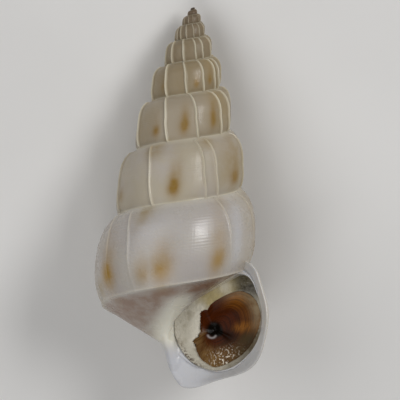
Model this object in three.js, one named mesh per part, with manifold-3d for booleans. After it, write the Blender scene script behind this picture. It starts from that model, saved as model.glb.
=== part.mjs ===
// A wentletrap shell that lies on its back with its mouth up. It is the coiled shell itself, the
// dried foot that plugs its mouth, and the horny operculum that closes the foot.
// Millimetres. In the shell's own frame the coil's axis is Y with the apex at the origin and up,
// X is to the right, and Z comes out of the mouth side. A depth is measured down from the apex.
import * as THREE from "three";
import { mergeVertices } from "three/addons/utils/BufferGeometryUtils.js";
import Module from "manifold-3d";

const wasm = await Module();
wasm.setup();

// Growth of the coil. Turns are counted from the point where the coil would vanish, and whole
// turns lie on the shell's right-hand side. Depth and radius are powers of the turn.
const FULL_TURNS = 13;
const FIRST_TURN = 5.6; // the coil starts here, inside the bulb of the apex
const SPIRE_DEPTH = 15.75; // depth of the whorl's widest line at FULL_TURNS
const SPIRE_POWER = 4.25;
const WHORL_RADIUS = 4.72; // radius of that line at FULL_TURNS
const RADIUS_POWER = 3;
const SLIM_TURNS = 4; // the first turns, near the apex, are slimmer than the power gives
const SLIM_SHARE = 0.233;
const APEX_BULB = [[0, 0], [0.09, 0.03], [0.125, 0.12], [0.2, 0.24], [0.27, 0.42], [0.27, 0.56], [0, 0.7]];
const APEX_SIDES = 12;
const AXIS_GAP = 0.05; // the sections stop this far from the axis
const COLUMELLA_RADIUS = 0.12;
const COLUMELLA_TOP = 0.45;
const COLUMELLA_END = 17.2; // depth where the pillar ends, inside the base
const BASE_END = 17.3; // depth of the base's lowest point on the axis

// Half section of a whorl in shares of its radius, as control points of cubic curves. The first
// number runs out from the axis, the second down from the widest line.
const SHOULDER = [[1, 0], [1, -0.25], [0.95, -0.5], [0.74, -0.622]];
const BASE = [[1, 0], [1.03, 0.41], [0.96, 0.49], [0, 0.985]];
const MOUTH_BASE = [[1, 0], [1, 0.42], [0.6, 0.8], [0, 0.985]];
const TOP_AT_AXIS = -0.4;
const FINE = { base: [1, 0.72, 0.51, 0.45, 0.39, 0.19, 0], shoulder: [0.34, 0.66, 1], turns: 1 / 20 };
const COARSE = { base: [1, 0.45, 0.22, 0], shoulder: [0.5, 1], turns: 1 / 12 };
const FINE_FROM = 9.4; // turn from which the sections have more points and stand closer
const CORD_STEP = 0.45; // where the basal cord runs on the base curve
const CORD_HEIGHT = 0.02; // in shares of the whorl's radius

// Axial ribs, former lips of the mouth: for each whorl, the degrees past the right-hand side
// where its ribs stand, and how high they stand. From 0 to 180 is the mouth side. Each spurt of
// growth starts inside the last rib and ends in the next.
const RIB_WIDTH = 3.2 / 360; // turns
const SPURT_OVERLAP = 1.2 / 360; // turns that a spurt starts inside the last rib
const RIBS = [
  { turn: 6, height: 0.03, at: [0, 45, 90, 120, 150, 180, 210, 240, 270, 300, 330] },
  { turn: 7, height: 0.05, at: [32, 59, 85, 114, 138, 156, 185, 212, 240, 268, 296, 324, 350] },
  { turn: 8, height: 0.08, at: [26, 59, 79, 110, 142, 170, 200, 232, 264, 296, 328, 355] },
  { turn: 9, height: 0.1, at: [27, 40, 66, 97, 132, 170, 205, 240, 275, 310, 345] },
  { turn: 10, height: 0.11, at: [23, 43, 79, 117, 165, 205, 245, 285, 325] },
  { turn: 11, height: 0.1, at: [8, 58, 71, 123, 170, 215, 250, 292, 330] },
  { turn: 12, height: 0.07, at: [15, 49, 130, 152, 200, 247, 295, 335] },
];

// The mouth, in a plane through the axis that is turned past the right-hand side. Its opening is
// an oval cut straight along the body whorl, in polar form about its centre.
const MOUTH_ANGLE = 25; // degrees
const MOUTH_TURN = FULL_TURNS + MOUTH_ANGLE / 360;
const ROUNDING_TURNS = 0.55; // the base rounds off to the mouth over this stretch
const LEVEL_TURNS = 0.175; // the last stretch of the coil runs level
const MOUTH_RISE = 0.45; // and so ends this much higher
const MOUTH_OUT = 2.2; // the opening's centre, out from the axis
const MOUTH_DEPTH = 15.7;
const OPENING_RADIUS = 2.4;
const OPENING_OVAL = 0.15;
const OPENING_OVAL_ANGLE = 48;
const PARIETAL_DISTANCE = 1.57; // from the centre to the straight side
const PARIETAL_ANGLE = 121;
const OPENING_POINTS = 40;

// The lip around the opening: its width, broad at the foot of the mouth and thin where it lies
// on the body whorl, and its cross section as shares of the width and depths along the mouth's axis.
const LIP_WIDTH = 0.4;
const LIP_FOOT = { more: 0.62, angle: -121, spread: 24 };
const LIP_CORNER = { more: 0.38, angle: -58, spread: 26 };
const LIP_TOP = { more: 0.2, angle: 62, spread: 14 };
const LIP_PARIETAL = { less: 0.85, angle: 122, spread: 42 };
const LIP_PROFILE = [
  [0, 0.04], [0.3, 0.14], [0.7, 0.06], [1, -0.12], [0.85, -0.38], [0.25, -0.85], [-0.12, -0.5],
];

// The hollow inside, the mouth's outline at the coil's own scale.
const HOLLOW_SHARE = 0.9; // at the mouth
const HOLLOW_NARROWS = 0.06; // less per turn further in, down to a thick wall
const HOLLOW_LEAST = 0.82;
const HOLLOW_OUT = 2.42; // its middle, out from the axis
const HOLLOW_DROP = 0.12; // how far its middle lies below the mouth's
const HOLLOW_POINTS = 16;
const HOLLOW_STEP = 1 / 18; // turns between its first sections
const HOLLOW_COARSENS = 0.33; // more of that per turn further in
const HOLLOW_TURNS = 3.5;
const FLARE = 1.12; // share of the opening at the front of the cut
const FLARE_OUT = 0.5;

// The dried foot and the operculum stand on a plane through the axis, further in than the lip.
const SEAT_ANGLE = 14; // degrees
const FOOT_SHARE = 0.8;
const FOOT_ARC = 42; // degrees that the plug runs back
const FOOT_POINTS = 24;
const FOOT_STEPS = 6;
const POCKET_GAP = 0.12;
const POCKET_DEPTH = 0.5;
const OPERCULUM_CENTRE = [0.1, -0.3]; // from the hollow's middle, in the seat's plane
const OPERCULUM_RADII = [1.8, 1.42]; // along its length and across it
const OPERCULUM_TILT = 74; // degrees from the mouth's X to its length
const OPERCULUM_THICKNESS = 0.14;
const OPERCULUM_DISH = 0.26; // how deep the middle lies below the rim
const NUCLEUS_AT = [-0.55, 0.02]; // the coil's centre on the operculum
const CHIPPED_EDGE = -1.28; // the broken edge on the pillar's side
const OPERCULUM_RINGS = 4;
const OPERCULUM_POINTS = 32;
const OPERCULUM_SINK = 0.1; // the rim lies this far below the foot's face

// How the shell lies: its apex dips to the table, and the back of its whorls is worn flat there.
const LYING_DIP = 13.1; // degrees
const LYING_ROLL = 7.3; // degrees about the coil's axis
const LYING_AT = [-0.3, 9.18, 1.083];
const TABLE_SIDE = 60;

const MERGE_TOLERANCE = 1e-5;
const JOIN_TOLERANCE = 0.006;
const radians = THREE.MathUtils.degToRad;

// A bell-shaped rise of 1 at a centre angle, in degrees.
function bell(angle, { angle: centre, spread }) {
  const apart = ((((angle - centre + 180) % 360) + 360) % 360) - 180;
  return Math.exp(-((apart / spread) ** 2));
}

function whorlRadius(turn) {
  const early = Math.max(0, 1 - (turn - FIRST_TURN) / SLIM_TURNS);
  return WHORL_RADIUS * (turn / FULL_TURNS) ** RADIUS_POWER * (1 - SLIM_SHARE * early);
}

// 0 before the last stretch of growth, 1 at the mouth.
function mouthShare(turn) {
  return THREE.MathUtils.smoothstep(turn, MOUTH_TURN - ROUNDING_TURNS, MOUTH_TURN);
}

function whorlDepth(turn) {
  const level = Math.max(0, 1 - (MOUTH_TURN - turn) / LEVEL_TURNS);
  return SPIRE_DEPTH * (turn / FULL_TURNS) ** SPIRE_POWER - MOUTH_RISE * level ** 2;
}

// A point at a distance from the axis and a depth below the apex, at a turn of the coil.
function coilPoint(out, depth, turn) {
  const angle = 2 * Math.PI * (turn - FULL_TURNS);
  return new THREE.Vector3(out * Math.cos(angle), -depth, out * Math.sin(angle));
}

function cubic(controls) {
  return new THREE.CubicBezierCurve(...controls.map(([x, y]) => new THREE.Vector2(x, y)));
}

function detail(turn) {
  return turn < FINE_FROM ? COARSE : FINE;
}

// One closed section of the whorl at a turn, swelled by a rib, from the foot of the axis to its top.
function whorlSection(turn, rib, steps) {
  const radius = whorlRadius(turn);
  const depth = whorlDepth(turn);
  const share = mouthShare(turn);
  const swell = 1 + rib / radius;
  const lowest = (BASE_END - depth) / radius;
  const base = cubic(BASE.map(([x, y], i) => [
    THREE.MathUtils.lerp(x, MOUTH_BASE[i][0], share),
    Math.min(THREE.MathUtils.lerp(y, MOUTH_BASE[i][1], share), i === 3 ? lowest : Infinity),
  ]));
  const shoulder = cubic(SHOULDER);
  const outline = steps.base.map((step) => {
    const cord = step === CORD_STEP ? 1 + CORD_HEIGHT * (1 - share) : 1;
    return base.getPoint(step).multiplyScalar(cord);
  });
  for (const step of steps.shoulder) outline.push(shoulder.getPoint(step));
  outline.push(new THREE.Vector2(0, TOP_AT_AXIS));
  return outline.map(({ x, y }) =>
    coilPoint(Math.max(x * swell * radius, AXIS_GAP), depth + y * swell * radius, turn));
}

// A closed surface through rings of equally many points, capped by a fan at each end.
function loft(rings) {
  const count = rings[0].length;
  const points = rings.flat();
  const faces = [];
  const at = (ring, i) => ring * count + (i % count);
  for (let ring = 0; ring + 1 < rings.length; ring++)
    for (let i = 0; i < count; i++) {
      faces.push(at(ring, i), at(ring, i + 1), at(ring + 1, i + 1));
      faces.push(at(ring, i), at(ring + 1, i + 1), at(ring + 1, i));
    }
  for (const [ring, turned] of [[0, true], [rings.length - 1, false]]) {
    const middle = points.length;
    const sum = rings[ring].reduce((total, point) => total.add(point), new THREE.Vector3());
    points.push(sum.divideScalar(count));
    for (let i = 0; i < count; i++) {
      const [a, b] = turned ? [at(ring, i + 1), at(ring, i)] : [at(ring, i), at(ring, i + 1)];
      faces.push(middle, a, b);
    }
  }
  return surface(points, faces);
}

// A ring-shaped surface through closed profiles that follow each other all the way round.
function wreath(profiles) {
  const count = profiles[0].length;
  const points = profiles.flat();
  const faces = [];
  const at = (profile, i) => (profile % profiles.length) * count + (i % count);
  for (let profile = 0; profile < profiles.length; profile++)
    for (let i = 0; i < count; i++) {
      faces.push(at(profile, i), at(profile, i + 1), at(profile + 1, i + 1));
      faces.push(at(profile, i), at(profile + 1, i + 1), at(profile + 1, i));
    }
  return surface(points, faces);
}

function surface(points, faces) {
  const geometry = new THREE.BufferGeometry().setFromPoints(points);
  return geometry.setIndex(faces);
}

// A closed geometry as a solid, turned to face outwards.
function solid(geometry) {
  const plain = new THREE.BufferGeometry().setAttribute("position", geometry.getAttribute("position"));
  const merged = mergeVertices(plain.setIndex(geometry.index), MERGE_TOLERANCE);
  const triVerts = new Uint32Array(merged.index.array);
  const vertProperties = merged.attributes.position.array;
  const made = new wasm.Manifold(new wasm.Mesh({ numProp: 3, vertProperties, triVerts }));
  if (made.volume() > 0) return made;
  triVerts.reverse();
  return new wasm.Manifold(new wasm.Mesh({ numProp: 3, vertProperties, triVerts }));
}

// The geometry of a solid's largest body, without the slivers and crumbs of a join.
function geometryOf(made) {
  const bodies = made.simplify(JOIN_TOLERANCE).decompose();
  const mesh = bodies.reduce((best, body) => (body.volume() > best.volume() ? body : best)).getMesh();
  return new THREE.BufferGeometry()
    .setAttribute("position", new THREE.BufferAttribute(mesh.vertProperties, 3))
    .setIndex(new THREE.BufferAttribute(mesh.triVerts, 1));
}

// One spurt of growth between two turns, even at first and flared to a rib at its end.
function spurt(from, to, rib) {
  const steps = detail(from);
  const plainEnd = to - RIB_WIDTH;
  const count = Math.max(1, Math.ceil((plainEnd - from) / steps.turns));
  const rings = [];
  for (let i = 0; i <= count; i++)
    rings.push(whorlSection(THREE.MathUtils.lerp(from, plainEnd, i / count), 0, steps));
  rings.push(whorlSection(to, rib, steps));
  return solid(loft(rings));
}

function whorls() {
  const pieces = [];
  let from = FIRST_TURN;
  for (const { turn, height, at } of RIBS)
    for (const angle of at) {
      const to = turn + angle / 360;
      pieces.push(spurt(from, to, height));
      from = to - SPURT_OVERLAP;
    }
  pieces.push(spurt(from, MOUTH_TURN, 0));
  return wasm.Manifold.union(pieces);
}

// A solid turned about the axis, from distances out and depths below the apex.
function turned(profile) {
  const points = profile.map(([out, depth]) => new THREE.Vector2(out, -depth));
  return solid(new THREE.LatheGeometry(points, APEX_SIDES));
}

function columella() {
  const [top, bottom] = [COLUMELLA_TOP, COLUMELLA_END];
  return turned([[0, top], [COLUMELLA_RADIUS, top], [COLUMELLA_RADIUS, bottom], [0, bottom]]);
}

// Distance from the opening's centre to its edge, in a direction given in degrees.
function openingRadius(angle) {
  const oval = OPENING_RADIUS + OPENING_OVAL * Math.cos(radians(2 * (angle - OPENING_OVAL_ANGLE)));
  const across = Math.cos(radians(angle - PARIETAL_ANGLE));
  return across > 0 ? Math.min(oval, PARIETAL_DISTANCE / across) : oval;
}

function lipWidth(angle) {
  let width = LIP_WIDTH;
  for (const swelling of [LIP_FOOT, LIP_CORNER, LIP_TOP]) width += swelling.more * bell(angle, swelling);
  return width * (1 - LIP_PARIETAL.less * bell(angle, LIP_PARIETAL));
}

// A frame at the mouth's depth, in the plane at an angle past the right-hand side and so far out:
// X outwards from the axis, Y to the apex, Z out of the mouth.
function mouthFrame(angle, out) {
  const frame = new THREE.Group();
  frame.position.set(out * Math.cos(radians(angle)), -MOUTH_DEPTH, out * Math.sin(radians(angle)));
  frame.rotation.y = -radians(angle);
  frame.updateMatrix();
  return frame;
}

function polar(angle, distance, height) {
  return new THREE.Vector3(
    distance * Math.cos(radians(angle)), distance * Math.sin(radians(angle)), height);
}

function evenAngles(count) {
  return Array.from({ length: count }, (_, i) => (360 * i) / count);
}

function lip() {
  const profiles = evenAngles(OPENING_POINTS).map((angle) => {
    const width = lipWidth(angle);
    return LIP_PROFILE.map(([share, height]) =>
      polar(angle, openingRadius(angle) + share * width, height));
  });
  return solid(wreath(profiles).applyMatrix4(mouthFrame(MOUTH_ANGLE, MOUTH_OUT).matrix));
}

// The opening's outline carried into the coil at a turn, at a share of the coil's own scale.
function innerSection(turn, share, points) {
  const scale = whorlRadius(turn) / whorlRadius(MOUTH_TURN);
  const out = HOLLOW_OUT * scale;
  const depth = whorlDepth(turn) + (MOUTH_DEPTH + HOLLOW_DROP - whorlDepth(MOUTH_TURN)) * scale;
  return evenAngles(points).map((angle) => {
    const edge = polar(angle, openingRadius(angle) * share * scale, 0);
    return coilPoint(out + edge.x, depth - edge.y, turn);
  });
}

function hollowShare(back) {
  return Math.max(HOLLOW_LEAST, HOLLOW_SHARE - HOLLOW_NARROWS * back);
}

function hollow() {
  const mouth = mouthFrame(MOUTH_ANGLE, MOUTH_OUT).matrix;
  const front = (share, height) => evenAngles(HOLLOW_POINTS).map((angle) =>
    polar(angle, openingRadius(angle) * share, height).applyMatrix4(mouth));
  const rings = [front(FLARE, FLARE_OUT), front(1, 0)];
  for (let back = HOLLOW_STEP / 2; back < HOLLOW_TURNS; back += HOLLOW_STEP * (1 + HOLLOW_COARSENS * back))
    rings.push(innerSection(MOUTH_TURN - back, hollowShare(back), HOLLOW_POINTS));
  return solid(loft(rings));
}

// The table, brought into the shell's own frame, which wears the back of the whorls flat.
function table(lying) {
  const slab = new THREE.BoxGeometry(TABLE_SIDE, TABLE_SIDE, TABLE_SIDE).translate(0, 0, -TABLE_SIDE / 2);
  return solid(slab.applyMatrix4(lying.matrix.clone().invert()));
}

function shell(lying) {
  const grown = wasm.Manifold.union([whorls(), turned(APEX_BULB), columella(), lip()]);
  return geometryOf(grown.subtract(hollow()).subtract(table(lying)));
}

// Distance from the operculum's centre to its edge: an oval with a broken edge on one side.
function operculumRadius(angle, grow) {
  const [along, across] = OPERCULUM_RADII;
  const turned = radians(angle - OPERCULUM_TILT);
  const oval = 1 / Math.hypot(Math.cos(turned) / along, Math.sin(turned) / across);
  const x = Math.cos(radians(angle));
  return grow + (x < 0 ? Math.min(oval, CHIPPED_EDGE / x) : oval);
}

// The foot's plug, with a pocket for the operculum in its face.
function driedFoot() {
  const rings = [];
  for (let step = 0; step <= FOOT_STEPS; step++) {
    const turn = FULL_TURNS + (SEAT_ANGLE - (FOOT_ARC * step) / FOOT_STEPS) / 360;
    rings.push(innerSection(turn, FOOT_SHARE, FOOT_POINTS));
  }
  const edge = evenAngles(OPERCULUM_POINTS).map((angle) => {
    const point = polar(angle, operculumRadius(angle, POCKET_GAP), 0);
    return new THREE.Vector2(point.x + OPERCULUM_CENTRE[0], point.y + OPERCULUM_CENTRE[1]);
  });
  const extent = { depth: 2 * POCKET_DEPTH, bevelEnabled: false };
  const pocket = new THREE.ExtrudeGeometry(new THREE.Shape(edge), extent);
  pocket.translate(0, 0, -POCKET_DEPTH);
  pocket.applyMatrix4(mouthFrame(SEAT_ANGLE, HOLLOW_OUT).matrix);
  return geometryOf(solid(loft(rings)).subtract(solid(pocket)));
}

// A thin dish about the off-centre nucleus, in the seat's plane: the back from the nucleus out to
// the edge, then the front from the edge in.
function operculum() {
  const face = (height) => {
    const rings = [];
    for (let ring = 1; ring <= OPERCULUM_RINGS; ring++) {
      const share = ring / OPERCULUM_RINGS;
      rings.push(evenAngles(OPERCULUM_POINTS).map((angle) => {
        const edge = polar(angle, operculumRadius(angle, 0), 0);
        return new THREE.Vector3(
          THREE.MathUtils.lerp(NUCLEUS_AT[0], edge.x, share),
          THREE.MathUtils.lerp(NUCLEUS_AT[1], edge.y, share),
          height - OPERCULUM_DISH * (1 - share * share));
      }));
    }
    return rings;
  };
  return loft([...face(-OPERCULUM_THICKNESS), ...face(0).reverse()]);
}

function finish(colour, roughness) {
  return new THREE.MeshStandardMaterial({ color: colour, roughness, metalness: 0 });
}

function piece(name, geometry, material) {
  const mesh = new THREE.Mesh(geometry, material);
  mesh.name = name;
  return mesh;
}

const lying = new THREE.Group();
lying.rotation.set(-radians(LYING_DIP), radians(LYING_ROLL), 0);
lying.position.set(...LYING_AT);
lying.updateMatrix();
lying.add(piece("shell", shell(lying), finish(0xd6cec0, 0.35)));
lying.add(piece("dried_foot", driedFoot(), finish(0xc9bda6, 0.8)));

const seat = mouthFrame(SEAT_ANGLE, HOLLOW_OUT);
const plate = piece("operculum", operculum(), finish(0x6b3a14, 0.3));
plate.position.set(OPERCULUM_CENTRE[0], OPERCULUM_CENTRE[1], -OPERCULUM_SINK);
seat.add(plate);
lying.add(seat);

const part = new THREE.Group();
part.add(lying);

export default part;
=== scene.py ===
"""A wentletrap shell lying mouth up on a pale floor, with its horny lid and dried foot still in the mouth.

Shapes are worked out in the shell's own millimetres: the apex is the origin, the coil axis runs down along
minus y, and the mouth looks towards z. The class Lying lays them on the floor, in metres of the shared frame.
"""

import logging
from dataclasses import dataclass, field
from enum import Enum

import bmesh
import bpy
import numpy as np
from mathutils import Matrix


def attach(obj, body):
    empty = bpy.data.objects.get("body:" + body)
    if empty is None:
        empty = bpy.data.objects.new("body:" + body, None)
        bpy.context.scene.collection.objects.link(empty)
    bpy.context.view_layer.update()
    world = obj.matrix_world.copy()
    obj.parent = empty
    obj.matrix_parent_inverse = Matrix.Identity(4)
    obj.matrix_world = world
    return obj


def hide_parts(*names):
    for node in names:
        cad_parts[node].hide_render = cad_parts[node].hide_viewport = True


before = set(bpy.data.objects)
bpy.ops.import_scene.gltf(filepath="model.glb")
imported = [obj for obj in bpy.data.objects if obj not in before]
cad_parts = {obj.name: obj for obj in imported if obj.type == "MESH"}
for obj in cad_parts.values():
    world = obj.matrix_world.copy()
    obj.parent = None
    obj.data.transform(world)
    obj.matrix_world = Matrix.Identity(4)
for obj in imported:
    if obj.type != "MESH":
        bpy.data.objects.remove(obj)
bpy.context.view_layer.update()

Array = np.ndarray
Colour = tuple[float, float, float]
Pair = tuple[float, float]
Socket = bpy.types.NodeSocket

LOG = logging.getLogger("wentletrap")
MM = 0.001
WHOLE_TURN = 2 * np.pi
BODY = "root"
GROWTH_MAP = "growth"
HASH_STEPS = np.array([73856093, 19349663, 83492791])
HASH_SEED = 2654435761
HASH_STIR = 1274126177


class Zone(Enum):
    """The part of the shell that a face belongs to."""

    WHORL = 0
    LIP = 1
    THROAT = 2


class Join(Enum):
    """How one closed skin is put together with another."""

    UNION = "UNION"
    DIFFERENCE = "DIFFERENCE"


def smooth_ramp(share: Array) -> Array:
    """Rise from 0 to 1 with level ends: 3s^2 - 2s^3, held outside 0 to 1."""
    s = np.clip(share, 0.0, 1.0)
    return s * s * (3 - 2 * s)


def bell(distance: Array, spread: float) -> Array:
    """A bell of height 1: e to the minus (distance / spread) squared."""
    return np.exp(-((distance / spread) ** 2))


def angle_between(angles: Array, other: float) -> Array:
    """The turn from other to each angle, in radians, between minus and plus half a turn."""
    return (angles - other + np.pi) % WHOLE_TURN - np.pi


@dataclass(frozen=True)
class Ramp:
    """An eased rise from 0 to 1: where it starts and how far it takes, below 0 to rise downwards."""

    start: float
    over: float

    def at(self, value: Array) -> Array:
        """The rise at each value."""
        return smooth_ramp((value - self.start) / self.over)


@dataclass(frozen=True)
class Hump:
    """A bell along a line: its height, its middle and its spread."""

    much: float
    middle: float
    spread: float

    def at(self, value: Array) -> Array:
        """The bell's height at each value."""
        return self.much * bell(value - self.middle, self.spread)


@dataclass(frozen=True)
class Arc:
    """A bell round one direction: its height, and its middle and spread in degrees."""

    much: float
    middle_deg: float
    spread_deg: float

    def at(self, angle: Array) -> Array:
        """The bell's height in each direction."""
        away = angle_between(angle, np.radians(self.middle_deg))
        return self.much * bell(away, np.radians(self.spread_deg))


def cubic(controls: Array, share: Array) -> Array:
    """A cubic Bezier curve: its four controls weighed by the Bernstein polynomials.

    Args:
        controls: Four control points, with any leading axes that share also has.
        share: How far along the curve, from 0 to 1.

    Returns:
        The points, with the controls' last axis last.
    """
    c = np.asarray(controls, float)
    s = np.asarray(share, float)[..., None]
    lead = (1 - s) ** 3 * c[..., 0, :] + 3 * (1 - s) ** 2 * s * c[..., 1, :]
    return lead + 3 * (1 - s) * s**2 * c[..., 2, :] + s**3 * c[..., 3, :]


def catmull_rom(four: list[Array], share: Array) -> Array:
    """A Catmull-Rom curve between the middle two of four points: the cubic that keeps their slopes.

    Args:
        four: For each stretch, the point before it, its two ends and the point after it.
        share: How far along its stretch each point is, from 0 to 1.

    Returns:
        The points.
    """
    a, b, c, d = four
    s = share[:, None]
    bend = (2 * a - 5 * b + 4 * c - d) * s**2 + (3 * b - a - 3 * c + d) * s**3
    return b + 0.5 * ((c - a) * s + bend)


def closed_spline(knots: Array, count: int) -> Array:
    """A closed Catmull-Rom curve through the knots.

    Args:
        knots: The points that the curve passes, in order.
        count: How many points to give, evenly in the curve's own measure.

    Returns:
        The points, count of them, without the first repeated.
    """
    k = np.asarray(knots, float)
    at = np.arange(count) * len(k) / count
    i = at.astype(int)
    return catmull_rom([k[(i + step) % len(k)] for step in (-1, 0, 1, 2)], at - i)


def lattice_noise(points: Array, size: float, seed: int) -> Array:
    """Smooth lumps: hashed values at the corners of a cubic lattice, eased between corners.

    Args:
        points: Places, with x, y, z last.
        size: The lattice's pitch, in the points' unit.
        seed: Picks the set of values.

    Returns:
        One value for each point, from -1 to 1.
    """
    p = np.asarray(points, float) / size
    cell = np.floor(p).astype(np.int64)
    ease = smooth_ramp(p - cell)
    total = np.zeros(p.shape[:-1])
    for corner in np.ndindex(2, 2, 2):
        c = np.array(corner)
        key = (cell + c) @ HASH_STEPS + seed * HASH_SEED
        key = (key ^ (key >> 13)) * HASH_STIR & 0xFFFFFFFF
        value = ((key ^ (key >> 16)) & 0xFFFF) / 0x7FFF - 1.0
        total += value * np.prod(np.where(c, ease, 1 - ease), axis=-1)
    return total


@dataclass(frozen=True)
class Lying:
    """How the shell lies: its coil axis dips towards the apex and it is rolled to rest on its back."""

    dip_deg: float = 13.1
    roll_deg: float = 7.3
    apex_mm: tuple[float, float, float] = (-0.3, 9.18, 1.083)

    def turning(self) -> Array:
        """Turn the shell's own directions into the floor's: first the roll, then the dip.

        Returns:
            The 3 by 3 matrix.
        """
        dip = Matrix.Rotation(-np.radians(self.dip_deg), 3, "X")
        roll = Matrix.Rotation(np.radians(self.roll_deg), 3, "Y")
        return np.array(dip @ roll)

    def on_floor(self, points_mm: Array) -> Array:
        """Places in the shell's own millimetres, given in metres over the floor."""
        return (points_mm @ self.turning().T + np.array(self.apex_mm)) * MM

    def in_shell(self, places: Array) -> Array:
        """Places in metres over the floor, given in the shell's own millimetres."""
        return (places / MM - np.array(self.apex_mm)) @ self.turning()


@dataclass(frozen=True)
class RadialPlane:
    """A plane through the coil axis: x away from the axis, y towards the apex, z out of the mouth."""

    angle_deg: float
    out: float
    depth: float

    def to_shell(self, points: Array) -> Array:
        """Shift points to the plane's middle and turn them about the coil axis.

        Args:
            points: Places in the plane's own directions, from its middle.

        Returns:
            The same places in the shell's millimetres.
        """
        a = np.radians(self.angle_deg)
        x, y, z = np.moveaxis(points, -1, 0)
        out = self.out + x
        along_x = out * np.cos(a) - z * np.sin(a)
        along_z = out * np.sin(a) + z * np.cos(a)
        return np.stack([along_x, y - self.depth, along_z], axis=-1)

    def from_shell(self, points: Array) -> Array:
        """Turn points back about the coil axis and measure them from the plane's middle.

        Args:
            points: Places in the shell's millimetres.

        Returns:
            The same places in the plane's own directions.
        """
        a = np.radians(self.angle_deg)
        x, y, z = np.moveaxis(points, -1, 0)
        out = x * np.cos(a) + z * np.sin(a) - self.out
        return np.stack([out, y + self.depth, z * np.cos(a) - x * np.sin(a)], axis=-1)


@dataclass(frozen=True)
class RibRow:
    """The ribs that stand on one turn: their height and where each crosses, in degrees of that turn."""

    turn: int
    height: float
    degrees: tuple[float, ...]


RIB_ROWS = (
    RibRow(6, 0.03, (0, 45, 90, 120, 150, 180, 210, 240, 270, 300, 330)),
    RibRow(7, 0.05, (32, 59, 85, 114, 138, 156, 185, 212, 240, 268, 296, 324, 350)),
    RibRow(8, 0.08, (26, 59, 79, 110, 142, 170, 200, 232, 264, 296, 328, 355)),
    RibRow(9, 0.1, (27, 40, 66, 97, 132, 170, 205, 240, 275, 310, 345)),
    RibRow(10, 0.11, (23, 43, 79, 117, 165, 205, 245, 285, 325)),
    RibRow(11, 0.1, (8, 58, 71, 123, 170, 215, 250, 292, 330)),
    RibRow(12, 0.07, (15, 49, 130, 152, 200, 247, 295, 335)),
)


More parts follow.
